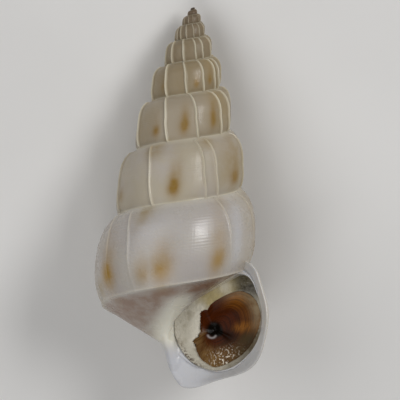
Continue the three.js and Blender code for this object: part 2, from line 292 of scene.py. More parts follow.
@dataclass(frozen=True)
class Coil:
    """The growth law of the tube, in millimetres and turns, counted from where the spiral would start."""

    full_turns: float = 13.0
    tip_turn: float = 3.6
    mouth_angle_deg: float = 25.0
    spire_depth: float = 15.75
    spire_power: float = 4.25
    widest: float = 4.72
    width_power: float = 3.0
    slim_from: float = 5.6
    slim_turns: float = 4.0
    slim_share: float = 0.233
    tip_swell_turns: float = 0.8
    tip_point_turns: float = 0.05
    level_turns: float = 0.175
    mouth_rise: float = 0.45
    rounding_turns: float = 0.55
    base_end: float = 17.3
    axis_gap: float = 0.05
    cord_at: float = 0.5
    cord_height: float = 0.05
    cord_spread: float = 0.014
    cord_full_at: float = 3.0
    body_at: Ramp = Ramp(11.8, 0.45)
    rib_before: float = 0.06
    rib_after: float = 0.042
    rib_lean_up_deg: float = 11.0
    rib_lean_down_deg: float = 4.0
    rib_least_round: float = 1.2
    rib_fade: float = 0.8
    rib_fade_turns: Ramp = Ramp(11.4, 0.8)
    rib_fade_down: Ramp = Ramp(-0.6, 1.0)
    rib_end: Ramp = Ramp(1.15, -0.3)
    mouth_slim: float = 0.05
    slim_mouth_turns: float = 0.45
    widest_at: float = 0.4
    steps_per_turn: int = 504
    shoulder_rows: int = 6
    flank_rows: tuple = (0, 0.14, 0.28, 0.42, 0.56, 0.7, 0.83, 0.93, 0.975, 1)
    base_rows: tuple = (0, 0.02, 0.06, 0.14, 0.25, 0.38, 0.52, 0.66, 0.8, 0.92, 1)
    shoulder: tuple = ((1, 0), (1, -0.25), (0.95, -0.5))
    spire_flank: tuple = ((1, 0), (1.02, 0.14), (1.02, 0.3), (0.965, 0.41))
    body_flank: tuple = ((1, 0), (1, 0.17), (0.965, 0.3), (0.885, 0.42))
    mouth_flank: tuple = ((1, 0), (1, 0.21), (0.9, 0.41), (0.725, 0.5025))
    mouth_base: tuple = ((0.725, 0.5025), (0.55, 0.595), (0.3, 0.58), (0, 0.36))
    axis_end: float = 0.985

    @property
    def mouth_turn(self) -> float:
        """Where the tube ends, in turns."""
        return self.full_turns + self.mouth_angle_deg / 360

    def columns(self) -> Array:
        """Space the columns of the whorls evenly, back from the mouth to the tip.

        Returns:
            The turn at which each column crosses the widest point.
        """
        end = self.mouth_turn + self.rib_lean_down_deg / 360
        count = round((end - self.tip_turn) * self.steps_per_turn)
        return end - np.arange(count, -1, -1) / self.steps_per_turn

    def lean(self, down: Array) -> Array:
        """How far ahead a rib or column leans, in turns: forward up the shoulder, back down the flank."""
        up = self.rib_lean_up_deg * np.minimum(down, 0) ** 2
        return (up - self.rib_lean_down_deg * np.clip(down, 0, 1)) / 360

    def radius(self, turn: Array) -> Array:
        """Half-width: a power of the turn, slimmer on the early whorls, rounded off to nothing at the tip.

        Args:
            turn: Turns at which to measure.

        Returns:
            Millimetres from the axis to the widest point.
        """
        slim = self.slim_share * np.maximum(0, 1 - (turn - self.slim_from) / self.slim_turns)
        grown = self.widest * (np.maximum(turn, 0) / self.full_turns) ** self.width_power
        start = np.clip((turn - self.tip_turn - self.tip_point_turns) / self.tip_swell_turns, 0, 1)
        mouth = self.mouth_slim * smooth_ramp(1 - (self.mouth_turn - turn) / self.slim_mouth_turns)
        return grown * (1 - slim - mouth) * np.sqrt(1 - (1 - start) ** 2)

    def depth(self, turn: Array) -> Array:
        """How deep the widest point is: a power of the turn, with a short rise just before the mouth.

        Args:
            turn: Turns at which to measure.

        Returns:
            Millimetres below the apex.
        """
        near = np.maximum(0, 1 - (self.mouth_turn - turn) / self.level_turns)
        fall = self.spire_depth * (np.maximum(turn, 0) / self.full_turns) ** self.spire_power
        return fall - self.mouth_rise * near**2

    def down_from_map(self, down: Array) -> Array:
        """From the map's share of the whorl to -1 at its upper suture, 0 at its widest, 1 at its lower."""
        at = self.widest_at
        return np.where(down < at, down / at - 1, (down - at) / (1 - at))

    def ribs(self, turn: Array, down: Array) -> Array:
        """Height of the ribs: each a ridge with a long slope behind and a steep one in front.

        A rib leans forward as it climbs the shoulder, and on the last turns it fades down the flank.

        Args:
            turn: Turns at which to measure.
            down: -1 at the suture above, 0 at the widest point, 1 at the suture below.

        Returns:
            The height in millimetres at each place.
        """
        at = np.concatenate([row.turn + np.array(row.degrees) / 360 for row in RIB_ROWS])
        high = np.concatenate([np.full(len(row.degrees), row.height) for row in RIB_ROWS])
        size = WHOLE_TURN * np.maximum(self.radius(at), self.rib_least_round)
        middle = turn - self.lean(down)
        after = np.clip(np.searchsorted(at, middle), 1, len(at) - 1)
        sides = []
        for rib in (after - 1, after):
            gap = (middle - at[rib]) * size[rib]
            width = np.where(gap < 0, self.rib_before, self.rib_after)
            sides.append(high[rib] * bell(gap, width))
        left = 1 - self.rib_fade * self.rib_fade_turns.at(turn) * self.rib_fade_down.at(down)
        return np.maximum(*sides) * left * self.rib_end.at(down)

    def flank(self, turn: Array) -> Array:
        """The contour from the widest point to the cord: upright on the spire, rounder on the body.

        Args:
            turn: Turns at which to measure.

        Returns:
            Four controls of a cubic at each turn, out and down in half-widths.
        """
        body = self.body_at.at(turn)[..., None, None]
        mouth = self.near_mouth(turn)[..., None, None]
        shapes = (self.spire_flank, self.body_flank, self.mouth_flank)
        spire, low, end = (np.asarray(shape, float) for shape in shapes)
        return (spire * (1 - body) + low * body) * (1 - mouth) + end * mouth

    def near_mouth(self, turn: Array) -> Array:
        """How far the contour has gone over to its shape at the mouth, from 0 to 1."""
        return smooth_ramp(1 - (self.mouth_turn - turn) / self.rounding_turns)

    def lower(self, share: Array, turn: Array) -> Array:
        """The contour below the widest point: a cubic down to the cord, then the base in to the axis.

        Args:
            share: 0 at the widest point, cord_at at the cord, 1 at the axis.
            turn: The turn of each point.

        Returns:
            Out and down, in half-widths.
        """
        flank = self.flank(turn)
        cord = flank[..., 3:4, :]
        reach = (self.base_end - self.depth(turn)) / np.maximum(self.radius(turn), 1e-6)
        end = np.stack([np.zeros_like(reach), np.minimum(self.axis_end, reach)], axis=-1)[..., None, :]
        straight = cord + (end - cord) * np.linspace(0, 1, 4)[:, None]
        mouth = self.near_mouth(turn)[..., None, None]
        base = straight * (1 - mouth) + np.asarray(self.mouth_base) * mouth
        on_flank = cubic(flank, np.clip(share / self.cord_at, 0, 1))
        on_base = cubic(base, np.clip((share - self.cord_at) / (1 - self.cord_at), 0, 1))
        return np.where(share[..., None] > self.cord_at, on_base, on_flank)

    def cord(self, turn: Array, share: Array) -> Array:
        """Height of the thread that runs round the base, and shows at the sutures of the spire."""
        size = np.minimum(1, self.radius(turn) / self.cord_full_at)
        return self.cord_height * size * bell(share - self.cord_at, self.cord_spread)

    def suture(self, turn: Array) -> tuple[Array, Array]:
        """The suture above each turn, which runs on the cord of the turn before.

        Args:
            turn: Turns at which to measure.

        Returns:
            How far out and how deep it is. On the first turn it is the apex itself.
        """
        before = np.where(turn - 1 > self.tip_turn + self.tip_point_turns, turn - 1, self.tip_turn)
        edge = np.full_like(turn, self.cord_at)
        raised = self.ribs(before, np.ones_like(turn)) + self.cord(before, edge)
        size = self.radius(before)
        flat = self.lower(edge, before) * np.where(size > 0, size + raised, 0)[..., None]
        return flat[..., 0], self.depth(before) + flat[..., 1]

    def upper(self, share: Array, turn: Array) -> Array:
        """The contour above the widest point: a cubic over the shoulder to the suture.

        Args:
            share: 0 at the widest point, 1 at the suture.
            turn: The turn of each point.

        Returns:
            Out and down, in half-widths.
        """
        out, deep = self.suture(turn)
        size = np.maximum(self.radius(turn), 1e-9)
        end = np.stack([out / size, (deep - self.depth(turn)) / size], axis=-1)
        bend = np.broadcast_to(np.asarray(self.shoulder, float), (*turn.shape, 3, 2))
        return cubic(np.concatenate([bend, end[..., None, :]], axis=-2), share)

    def outside(self, deep: Array, turn: float, count: int = 60) -> Array:
        """How far out the bare whorl is on one turn, from its suture down to its cord.

        Args:
            deep: Depths below the apex at which to measure.
            turn: Where the cut is.
            count: Points on each half of the contour.

        Returns:
            Millimetres from the axis at each depth.
        """
        share = np.linspace(0, 1, count)
        turns = np.full_like(share, turn)
        contour = np.concatenate([self.upper(share[::-1], turns), self.lower(share * self.cord_at, turns)])
        contour = contour * self.radius(turns[:1])
        return np.interp(deep, self.depth(turns[:1]) + contour[:, 1], contour[:, 0])

    def surface(self, flat: Array, raised: Array, turn: Array) -> Array:
        """Contour points scaled to the half-width and what stands on it, and carried round the axis.

        Args:
            flat: Out and down, in half-widths.
            raised: The height of what stands there, in millimetres.
            turn: The turn of each point.

        Returns:
            Places in the shell's millimetres.
        """
        size = self.radius(turn)
        flat = flat * np.where(size > 0, size + raised, 0)[..., None]
        return self.at(np.maximum(flat[..., 0], 0), self.depth(turn) + flat[..., 1], turn)

    def at(self, out: Array, deep: Array, turn: Array) -> Array:
        """Cylinder to shell coordinates: out from the axis, depth below the apex, turn round it."""
        angle = WHOLE_TURN * (turn - self.full_turns)
        return np.stack([out * np.cos(angle), -deep, out * np.sin(angle)], axis=-1)


@dataclass
class Patch:
    """One grid of a skin: places in the shell's millimetres, map coordinates, and the zone it belongs to."""

    points: Array
    growth: Array
    zone: Zone

    def quads(self) -> Array:
        """Number the grid's points row by row and take the four round every cell.

        Returns:
            One row of four numbers for each cell.
        """
        rows, columns = self.points.shape[:2]
        index = np.arange(rows * columns).reshape(rows, columns)
        cells = [index[:-1, :-1], index[1:, :-1], index[1:, 1:], index[:-1, 1:]]
        return np.stack([c.ravel() for c in cells], axis=-1)


@dataclass
class Skin:
    """A closed mesh welded from patches."""

    name: str
    lying: Lying
    patches: list[Patch] = field(default_factory=list)
    weld: float = 3e-8

    def add(self, points: Array, growth: Array, zone: Zone = Zone.WHORL) -> None:
        """Put in one grid of points with its map coordinates."""
        self.patches.append(Patch(points, growth, zone))

    def build(self) -> bpy.types.Object:
        """Lay the grids into one mesh, weld their shared edges and turn the faces outwards.

        Returns:
            The object, at the origin, with its place in its mesh.
        """
        starts = np.cumsum([0] + [p.points.shape[0] * p.points.shape[1] for p in self.patches])
        places = np.concatenate([p.points.reshape(-1, 3) for p in self.patches])
        quads = np.concatenate([p.quads() + s for p, s in zip(self.patches, starts)])
        growth = np.concatenate([p.growth.reshape(-1, 2) for p in self.patches])
        zones = np.concatenate([np.full(len(p.quads()), p.zone.value) for p in self.patches])
        mesh = bpy.data.meshes.new(self.name)
        mesh.from_pydata(self.lying.on_floor(places), [], quads)
        layer = mesh.uv_layers.new(name=GROWTH_MAP)
        layer.uv.foreach_set("vector", growth[quads.ravel()].astype(np.float32).ravel())
        mesh.attributes.new("zone", "INT", "FACE").data.foreach_set("value", zones.astype(np.int32))
        shape = bmesh.new()
        shape.from_mesh(mesh)
        bmesh.ops.remove_doubles(shape, verts=shape.verts, dist=self.weld)
        bmesh.ops.dissolve_degenerate(shape, edges=shape.edges, dist=self.weld)
        bmesh.ops.recalc_face_normals(shape, faces=shape.faces)
        shape.to_mesh(mesh)
        shape.free()
        thing = bpy.data.objects.new(self.name, mesh)
        bpy.context.scene.collection.objects.link(thing)
        return thing


def join_skins(body: bpy.types.Object, steps: list[tuple[bpy.types.Object, Join]]) -> None:
    """Put closed skins together into the first one's mesh, and delete the others.

    Args:
        body: The skin that keeps its name.
        steps: The other skins in order, each with how it is put in.
    """
    for other, join in steps:
        step = body.modifiers.new(other.name, "BOOLEAN")
        step.operation = join.value
        step.solver = "MANIFOLD"
        step.object = other
    graph = bpy.context.evaluated_depsgraph_get()
    old = body.data
    mesh = bpy.data.meshes.new_from_object(body.evaluated_get(graph))
    body.modifiers.clear()
    body.data = mesh
    bpy.data.meshes.remove(old)
    mesh.name = body.name
    for other, _ in steps:
        bpy.data.meshes.remove(other.data)


@dataclass(frozen=True)
class Mouth:
    """The opening at the end of the tube: its outline, its turned lip and the hollow behind it."""

    coil: Coil
    plane: RadialPlane = RadialPlane(25.0, 2.2, 15.7)
    opening: float = 2.4
    oval: float = 0.15
    oval_deg: float = 48.0
    parietal: float = 1.85
    parietal_deg: float = 121.0
    lip_width: float = 0.44
    least_facing: float = 0.05
    corners: tuple[Arc, ...] = (Arc(0.4, 62.0, 18.0), Arc(0.2, 172.0, 30.0))
    lip_swells: tuple[Arc, ...] = (Arc(0.74, -119.0, 23.0), Arc(0.33, -43.0, 25.0), Arc(0.15, 62.0, 18.0))
    lip_thins: Arc = Arc(0.85, 122.0, 42.0)
    lip_sinks: Arc = Arc(0.55, 122.0, 40.0)
    lip_fill: Arc = Arc(0.1, -145.0, 34.0)
    lip_fill_across: Hump = Hump(1.0, 0.15, 0.4)
    lip_fill_above: float = -0.5
    lip_profile: tuple[Pair, ...] = (
        (-0.9, -0.6),
        (-0.75, -0.32),
        (-0.1, -0.16),
        (0.5, -0.02),
        (0.94, 0.11),
        (1.02, 0.02),
        (0.9, -0.2),
        (0.55, -0.5),
        (0.05, -0.82),
        (-0.7, -1.18),
    )
    hollow_share: float = 0.97
    hollow_least: float = 0.8
    hollow_tapers: float = 0.09
    hollow_out: float = 2.42
    hollow_drop: float = 0.12
    hollow_turns: float = 0.7
    wall: float = 0.12
    wall_turns: float = 0.02
    mouth_room: float = 0.35
    funnel_rings: int = 8
    funnel_least: float = 0.12
    flare: float = 0.1
    flare_out: float = 0.5
    base_clear: float = 0.32

    def outline(self, angle: Array) -> Array:
        """The opening: a slight oval with two corners, cut straight where it lies on the turn before.

        Args:
            angle: Directions from the middle, in radians.

        Returns:
            The radius in each direction.
        """
        oval = self.opening + self.oval * np.cos(2 * (angle - np.radians(self.oval_deg)))
        for corner in self.corners:
            oval = oval + corner.at(angle)
        facing = np.cos(angle - np.radians(self.parietal_deg))
        straight = self.parietal / np.maximum(facing, self.least_facing)
        return np.where(facing > self.least_facing, np.minimum(oval, straight), oval)

    def lip_span(self, angle: Array) -> Array:
        """Width of the lip: an even band, broader at its swells, thin where it lies on the turn before.

        Args:
            angle: Directions from the middle, in radians.

        Returns:
            The width in each direction.
        """
        span = np.full_like(angle, self.lip_width)
        for swell in self.lip_swells:
            span = span + swell.at(angle)
        return span * (1 - self.lip_thins.at(angle))

    def lip(self, around: int = 216, across: int = 27) -> Array:
        """The lip: its closed profile carried round the opening, as wide as the lip is there.

        It sinks where it lies on the turn before, and is filled up at one place.

        Args:
            around: Steps round the opening.
            across: Points on the profile.

        Returns:
            A closed grid of places in the shell's millimetres.
        """
        angle = np.linspace(0, WHOLE_TURN, around + 1)[:, None]
        profile = closed_spline(np.array(self.lip_profile), across)
        profile = np.concatenate([profile, profile[:1]])
        radius = self.outline(angle) + profile[:, 0] * self.lip_span(angle)
        filled = self.lip_fill.at(angle) * self.lip_fill_across.at(profile[:, 0])
        filled = filled * (profile[:, 1] > self.lip_fill_above)
        height = profile[:, 1] - self.lip_sinks.at(angle) + filled
        flat = np.stack([radius * np.cos(angle), radius * np.sin(angle), height], axis=-1)
        return self.plane.to_shell(flat)

    def hollow_at(self, turn: float) -> float:
        """The hollow's share of the opening: nearly all at the mouth, tapering behind it as a bell does."""
        behind = bell(np.array(self.coil.mouth_turn - turn), self.hollow_tapers)
        return float(self.hollow_least + (self.hollow_share - self.hollow_least) * behind)

    def inner_ring(self, turn: float, share: float, angle: Array, wall: float) -> Array:
        """One cross-section of the hollow.

        Args:
            turn: Where it is.
            share: Its share of the opening.
            angle: Where to measure round it.
            wall: How far inside the whorl's outside it stays, a little way back from the mouth.

        Returns:
            The opening's outline, shrunk in step with the whorl.
        """
        coil = self.coil
        here, mouth = np.array([turn]), np.array([coil.mouth_turn])
        size = (coil.radius(here) / coil.radius(mouth))[0]
        drop = self.plane.depth + self.hollow_drop - coil.depth(mouth)[0]
        reach = self.outline(angle) * share * size
        behind = smooth_ramp(np.array((coil.mouth_turn - turn) / self.wall_turns))
        out = self.hollow_out * size + reach * np.cos(angle)
        deep = coil.depth(here)[0] + drop * size - reach * np.sin(angle)
        out = np.minimum(out, coil.outside(deep, turn) - wall + self.mouth_room * (1 - behind))
        return coil.at(out, deep, np.full_like(angle, turn))

    def hollow(self, around: int = 168, steps_per_turn: int = 40) -> Array:
        """The hollow: a funnel out of the mouth, flared but clear of the base, then rings along the tube.

        Args:
            around: Steps round each ring.
            steps_per_turn: Rings for each turn of the tube.

        Returns:
            A grid of places in the shell's millimetres, closed to a point at both ends.
        """
        angle = np.linspace(0, WHOLE_TURN, around + 1)
        front = RadialPlane(self.plane.angle_deg, self.hollow_out, self.plane.depth + self.hollow_drop)
        reach = self.outline(angle) * self.hollow_share
        facing = np.maximum(np.cos(angle - np.radians(self.parietal_deg)), self.least_facing)
        rings = []
        for rise in np.linspace(1, self.funnel_least, self.funnel_rings):
            clear = (self.parietal * self.hollow_share - self.base_clear * rise) / facing
            wide = np.minimum(reach * (1 + self.flare * rise**2), clear)
            height = np.full_like(angle, self.flare_out * rise)
            flat = np.stack([wide * np.cos(angle), wide * np.sin(angle), height], axis=-1)
            rings.append(front.to_shell(flat))
        for back in np.linspace(0, self.hollow_turns, round(self.hollow_turns * steps_per_turn)):
            turn = self.coil.mouth_turn - back
            rings.append(self.inner_ring(turn, self.hollow_at(turn), angle, self.wall))
        ends = [np.broadcast_to(r[:-1].mean(axis=0), r.shape) for r in (rings[0], rings[-1])]
        return np.stack([ends[0], *rings, ends[1]])


@dataclass(frozen=True)
class ColumellaFold:
    """The rounded fold that leads from the turn before down the axis side of the mouth into the lip."""

    knots: tuple[tuple[float, float, float, float], ...] = (
        (0.05, -14.6, 1.75, 0.12),
        (-0.12, -15.05, 1.36, 0.22),
        (-0.4, -15.7, 0.7, 0.3),
        (-0.38, -16.5, 0.14, 0.34),
        (-0.16, -17.25, -0.05, 0.36),
        (0.06, -18.0, -0.1, 0.3),
        (0.2, -18.35, -0.12, 0.18),
    )
    eased_over: float = 0.85
    white_over: float = 1.15

    def path(self, count: int = 49) -> Array:
        """A Catmull-Rom curve through the knots, held at both ends.

        Args:
            count: How many points to give.

        Returns:
            Rows of x, y, z and radius, in millimetres.
        """
        k = np.array(self.knots)
        k = np.concatenate([k[:1], k, k[-1:]])
        at = np.linspace(0, len(self.knots) - 1 - 1e-9, count)
        i = at.astype(int)
        return catmull_rom([k[i + step] for step in range(4)], at - i)

    def tube(self, around: int = 40) -> Array:
        """Circles square to the path, closed to a point at both ends.

        Args:
            around: Steps round each circle.

        Returns:
            A grid of places in the shell's millimetres.
        """
        path = self.path()
        places, radius = path[:, :3], path[:, 3]
        along = np.gradient(places, axis=0)
        along /= np.linalg.norm(along, axis=1, keepdims=True)
        side = np.cross(along, np.array([0.0, 0.0, 1.0]))
        side /= np.linalg.norm(side, axis=1, keepdims=True)
        up = np.cross(side, along)
        angle = np.linspace(0, WHOLE_TURN, around + 1)[None, :, None]
        ring = np.cos(angle) * side[:, None] + np.sin(angle) * up[:, None]
        tube = places[:, None] + ring * radius[:, None, None]
        ends = [np.broadcast_to(p, tube[0].shape) for p in (places[0], places[-1])]
        return np.stack([ends[0], *tube, ends[1]])

    def distance(self, points: Array) -> Array:
        """How far each point is from the fold's path."""
        path = self.path()[:, :3]
        return np.min(np.linalg.norm(points[:, None] - path[None], axis=-1), axis=1)


@dataclass(frozen=True)
class ShellMark:
    """One coloured mark on the whorls: where it is in turns and share of the whorl, and its half-sizes."""

    turn: float
    down: float
    half_turn: float
    half_down: float
    strength: float


# Brown spots, those of the front first and then those of the back
SPOTS = (
    ShellMark(9.139, 0.52, 0.013, 0.18, 1.05),
    ShellMark(9.215, 0.58, 0.013, 0.18, 1.2),
    ShellMark(9.381, 0.55, 0.013, 0.18, 0.49),
    ShellMark(10.153, 0.48, 0.014, 0.25, 1.15),
    ShellMark(10.258, 0.54, 0.015, 0.23, 1.33),
    ShellMark(10.359, 0.6, 0.015, 0.17, 1.1),
    ShellMark(11.085, 0.58, 0.022, 0.19, 1.2),
    ShellMark(11.275, 0.6, 0.017, 0.25, 1.25),
    ShellMark(11.266, 0.44, 0.013, 0.18, 0.6),
    ShellMark(11.45, 0.62, 0.016, 0.15, 0.7),
    ShellMark(12.02, 0.58, 0.016, 0.18, 0.56),
    ShellMark(12.165, 0.62, 0.02, 0.33, 0.8),
    ShellMark(12.287, 0.66, 0.024, 0.31, 0.88),
    ShellMark(12.325, 0.68, 0.02, 0.24, 0.6),
    ShellMark(12.418, 0.59, 0.022, 0.26, 1.1),
    ShellMark(9.53, 0.55, 0.013, 0.18, 0.84),
    ShellMark(9.68, 0.55, 0.015, 0.18, 0.98),
    ShellMark(9.86, 0.55, 0.013, 0.18, 0.7),
    ShellMark(10.52, 0.55, 0.017, 0.19, 0.98),
    ShellMark(10.63, 0.57, 0.015, 0.18, 0.7),
    ShellMark(10.75, 0.55, 0.018, 0.19, 1.12),
    ShellMark(10.92, 0.55, 0.016, 0.18, 0.84),
    ShellMark(11.56, 0.58, 0.017, 0.18, 1.12),
    ShellMark(11.69, 0.6, 0.015, 0.17, 0.84),
    ShellMark(11.81, 0.58, 0.017, 0.19, 1.26),
    ShellMark(11.95, 0.58, 0.016, 0.18, 0.7),
    ShellMark(12.52, 0.63, 0.017, 0.24, 0.87),
    ShellMark(12.63, 0.63, 0.016, 0.22, 0.55),
    ShellMark(12.75, 0.63, 0.018, 0.24, 0.87),
    ShellMark(12.88, 0.59, 0.015, 0.22, 0.44),
)
# Tan clouds, in the same order
STAINS = (
    ShellMark(9.13, 0.2, 0.05, 0.3, 0.75),
    ShellMark(10.12, 0.15, 0.05, 0.2, 0.9),
    ShellMark(10.1, 0.45, 0.07, 0.5, 0.75),
    ShellMark(10.43, 0.5, 0.05, 0.6, 0.5),
    ShellMark(10.31, 0.95, 0.02, 0.1, 0.45),
    ShellMark(11.08, 0.4, 0.07, 0.5, 0.85),
    ShellMark(11.18, 0.07, 0.03, 0.1, 0.75),
    ShellMark(11.345, 0.08, 0.03, 0.12, 1.0),
    ShellMark(11.5, 0.3, 0.04, 0.3, 0.6),
    ShellMark(12.34, 0.08, 0.03, 0.12, 0.9),
    ShellMark(12.13, 0.05, 0.04, 0.1, 0.52),
    ShellMark(12.46, 0.8, 0.02, 0.2, 0.75),
    ShellMark(12.287, 1.1, 0.015, 0.08, 0.9),
    ShellMark(12.42, 1.12, 0.03, 0.07, 0.9),
    ShellMark(9.6, 0.15, 0.05, 0.2, 0.75),
    ShellMark(10.6, 0.12, 0.05, 0.2, 0.75),
    ShellMark(11.7, 0.1, 0.05, 0.15, 0.75),
    ShellMark(12.6, 0.1, 0.04, 0.15, 0.75),
    ShellMark(12.8, 0.1, 0.04, 0.12, 0.75),
)
# Bluish white bands on the last turn
BLOOMS = (
    ShellMark(12.115, 0.4, 0.02, 0.42, 0.55),
    ShellMark(12.3, 0.22, 0.05, 0.14, 0.35),
    ShellMark(12.62, 0.4, 0.02, 0.42, 0.45),
    ShellMark(12.82, 0.3, 0.04, 0.16, 0.35),
)


def paint_marks(marks: tuple[ShellMark, ...], growth: Array) -> Array:
    """The strongest mark at each place: every mark a bell in turn and height.

    Args:
        marks: The marks to lay down.
        growth: Map coordinates, turn and share of the whorl.

    Returns:
        Strength from 0 to 1 at each place.
    """
    total = np.zeros(len(growth))
    for mark in marks:
        along = (growth[:, 0] - mark.turn) / mark.half_turn
        down = (growth[:, 1] - mark.down) / mark.half_down
        total = np.maximum(total, mark.strength * np.exp(-(along**2) - down**2))
    return np.minimum(total, 1)


class NodeSheet:
    """A material's node tree, written as short calls that return sockets."""

    def __init__(self, name: str) -> None:
        """Start a material with one Principled shader.

        Args:
            name: The material's name.
        """
        self.material = bpy.data.materials.new(name)
        self.material.use_nodes = True
        self.nodes = self.material.node_tree.nodes
        self.links = self.material.node_tree.links
        self.shader = self.nodes["Principled BSDF"]

    def put(self, node: bpy.types.Node, inputs: dict[str | int, object]) -> None:
        """Link or set some of a node's inputs.

        Args:
            node: The node.
            inputs: For each input, a socket to link or a plain value.
        """
        for name, value in inputs.items():
            if isinstance(value, Socket):
                self.links.new(value, node.inputs[name])
            else:
                node.inputs[name].default_value = value

    def shade(self, inputs: dict[str, object]) -> bpy.types.Material:
        """Link or set the shader's own inputs, and give the finished material."""
        self.put(self.shader, inputs)
        return self.material

    def place(self) -> Socket:
        """The place on the piece, in metres of the shared frame."""
        return self.nodes.new("ShaderNodeTexCoord").outputs["Object"]

    def mark(self, name: str) -> Socket:
        """Read a named measure that the mesh carries.

        Args:
            name: The measure's name.

        Returns:
            Its value.
        """
        node = self.nodes.new("ShaderNodeAttribute")
        node.attribute_name = name
        return node.outputs["Fac"]

    def growth(self) -> tuple[Socket, Socket]:
        """Read the growth map.

        Returns:
            Its two coordinates.
        """
        node = self.nodes.new("ShaderNodeUVMap")
        node.uv_map = GROWTH_MAP
        split = self.nodes.new("ShaderNodeSeparateXYZ")
        self.put(split, {0: node.outputs["UV"]})
        return split.outputs["X"], split.outputs["Y"]

    def sums(self, kind: str, a: object, b: object = 0.0, c: object = 0.0) -> Socket:
        """One step of arithmetic.

        Args:
            kind: The step's name.
            a: The first number or socket.
            b: The second.
            c: The third, for a step that takes three.

        Returns:
            The result.
        """
        node = self.nodes.new("ShaderNodeMath")
        node.operation = kind
        self.put(node, {0: a, 1: b, 2: c})
        return node.outputs[0]

    def times(self, a: object, b: object) -> Socket:
        """The product of two numbers or sockets."""
        return self.sums("MULTIPLY", a, b)

    def noise(self, where: Socket, scale: float, detail: float = 3.0, rough: float = 0.5) -> Socket:
        """Cloudy noise, about 0.3 to 0.7.

        Args:
            where: The place to read it at.
            scale: Clouds for each unit of the place.
            detail: How many finer layers are laid over.
            rough: How strong each finer layer is.

        Returns:
            The noise.
        """
        node = self.nodes.new("ShaderNodeTexNoise")
        self.put(node, {"Vector": where, "Scale": scale, "Detail": detail, "Roughness": rough})
        return node.outputs["Fac"]

    def grain(
        self, along: Socket, across: Socket, scales: Pair, detail: float = 4.0, rough: float = 0.6
    ) -> Socket:
        """Cloudy noise drawn out along one of two coordinates.

        Args:
            along: The first coordinate.
            across: The second coordinate.
            scales: Clouds for each unit of the two.
            detail: How many finer layers are laid over.
            rough: How strong each finer layer is.

        Returns:
            The noise.
        """
        node = self.nodes.new("ShaderNodeCombineXYZ")
        self.put(node, {0: self.times(along, scales[0]), 1: self.times(across, scales[1])})
        return self.noise(node.outputs[0], 1.0, detail, rough)

    def spread(self, value: Socket, low: float, high: float, start: float = 0.0, end: float = 1.0) -> Socket:
        """Stretch a value's range onto another, eased and held at both ends.

        Args:
            value: The value.
            low: Where its range starts.
            high: Where its range ends.
            start: What low becomes.
            end: What high becomes.

        Returns:
            The stretched value.
        """
        node = self.nodes.new("ShaderNodeMapRange")
        node.interpolation_type = "SMOOTHSTEP"
        self.put(node, {0: value, 1: low, 2: high, 3: start, 4: end})
        return node.outputs[0]

    def mix(self, share: object, a: object, b: object) -> Socket:
        """Blend two colours.

        Args:
            share: How much of the second shows.
            a: The first colour or socket.
            b: The second colour or socket.

        Returns:
            The blend.
        """
        node = self.nodes.new("ShaderNodeMix")
        node.data_type = "RGBA"
        tones = [(*tone, 1.0) if isinstance(tone, tuple) else tone for tone in (a, b)]
        self.put(node, {0: share, 6: tones[0], 7: tones[1]})
        return node.outputs[2]

    def tint(self, colour: Socket, mark: str, tone: object, by: object = None) -> Socket:
        """Lay a tone over a colour where the mesh carries a mark.

        Args:
            colour: What is below.
            mark: The mark's name.
            tone: The colour or socket to lay over.
            by: A share to multiply the mark by, if any.

        Returns:
            The tinted colour.
        """
        share = self.mark(mark)
        if by is not None:
            share = self.times(share, by)
        return self.mix(share, colour, tone)

    def ramp(self, value: Socket, stops: tuple[tuple[float, Colour], ...]) -> Socket:
        """Colours laid along a value, blended between stops.

        Args:
            value: The value.
            stops: Where each colour is, in order, with the colour.

        Returns:
            The colour.
        """
        low, high = stops[0][0], stops[-1][0]
        node = self.nodes.new("ShaderNodeValToRGB")
        self.put(node, {0: self.sums("DIVIDE", self.sums("SUBTRACT", value, low), high - low)})
        points = node.color_ramp.elements
        for _ in stops[2:]:
            points.new(0.5)
        for point, (at, colour) in zip(points, stops):
            point.position = (at - low) / (high - low)
            point.color = (*colour, 1.0)
        return node.outputs[0]

    def bump(self, height: Socket, relief: Pair, below: Socket | None = None) -> Socket:
        """Fine relief from a height, on top of any relief below it.

        Args:
            height: The height, from 0 to 1.
            relief: How strong it is, and what a height of 1 is in metres.
            below: The relief that it lies on.

        Returns:
            The normal.
        """
        node = self.nodes.new("ShaderNodeBump")
        self.put(node, {"Strength": relief[0], "Distance": relief[1], "Height": height})
        if below is not None:
            self.put(node, {"Normal": below})
        return node.outputs[0]


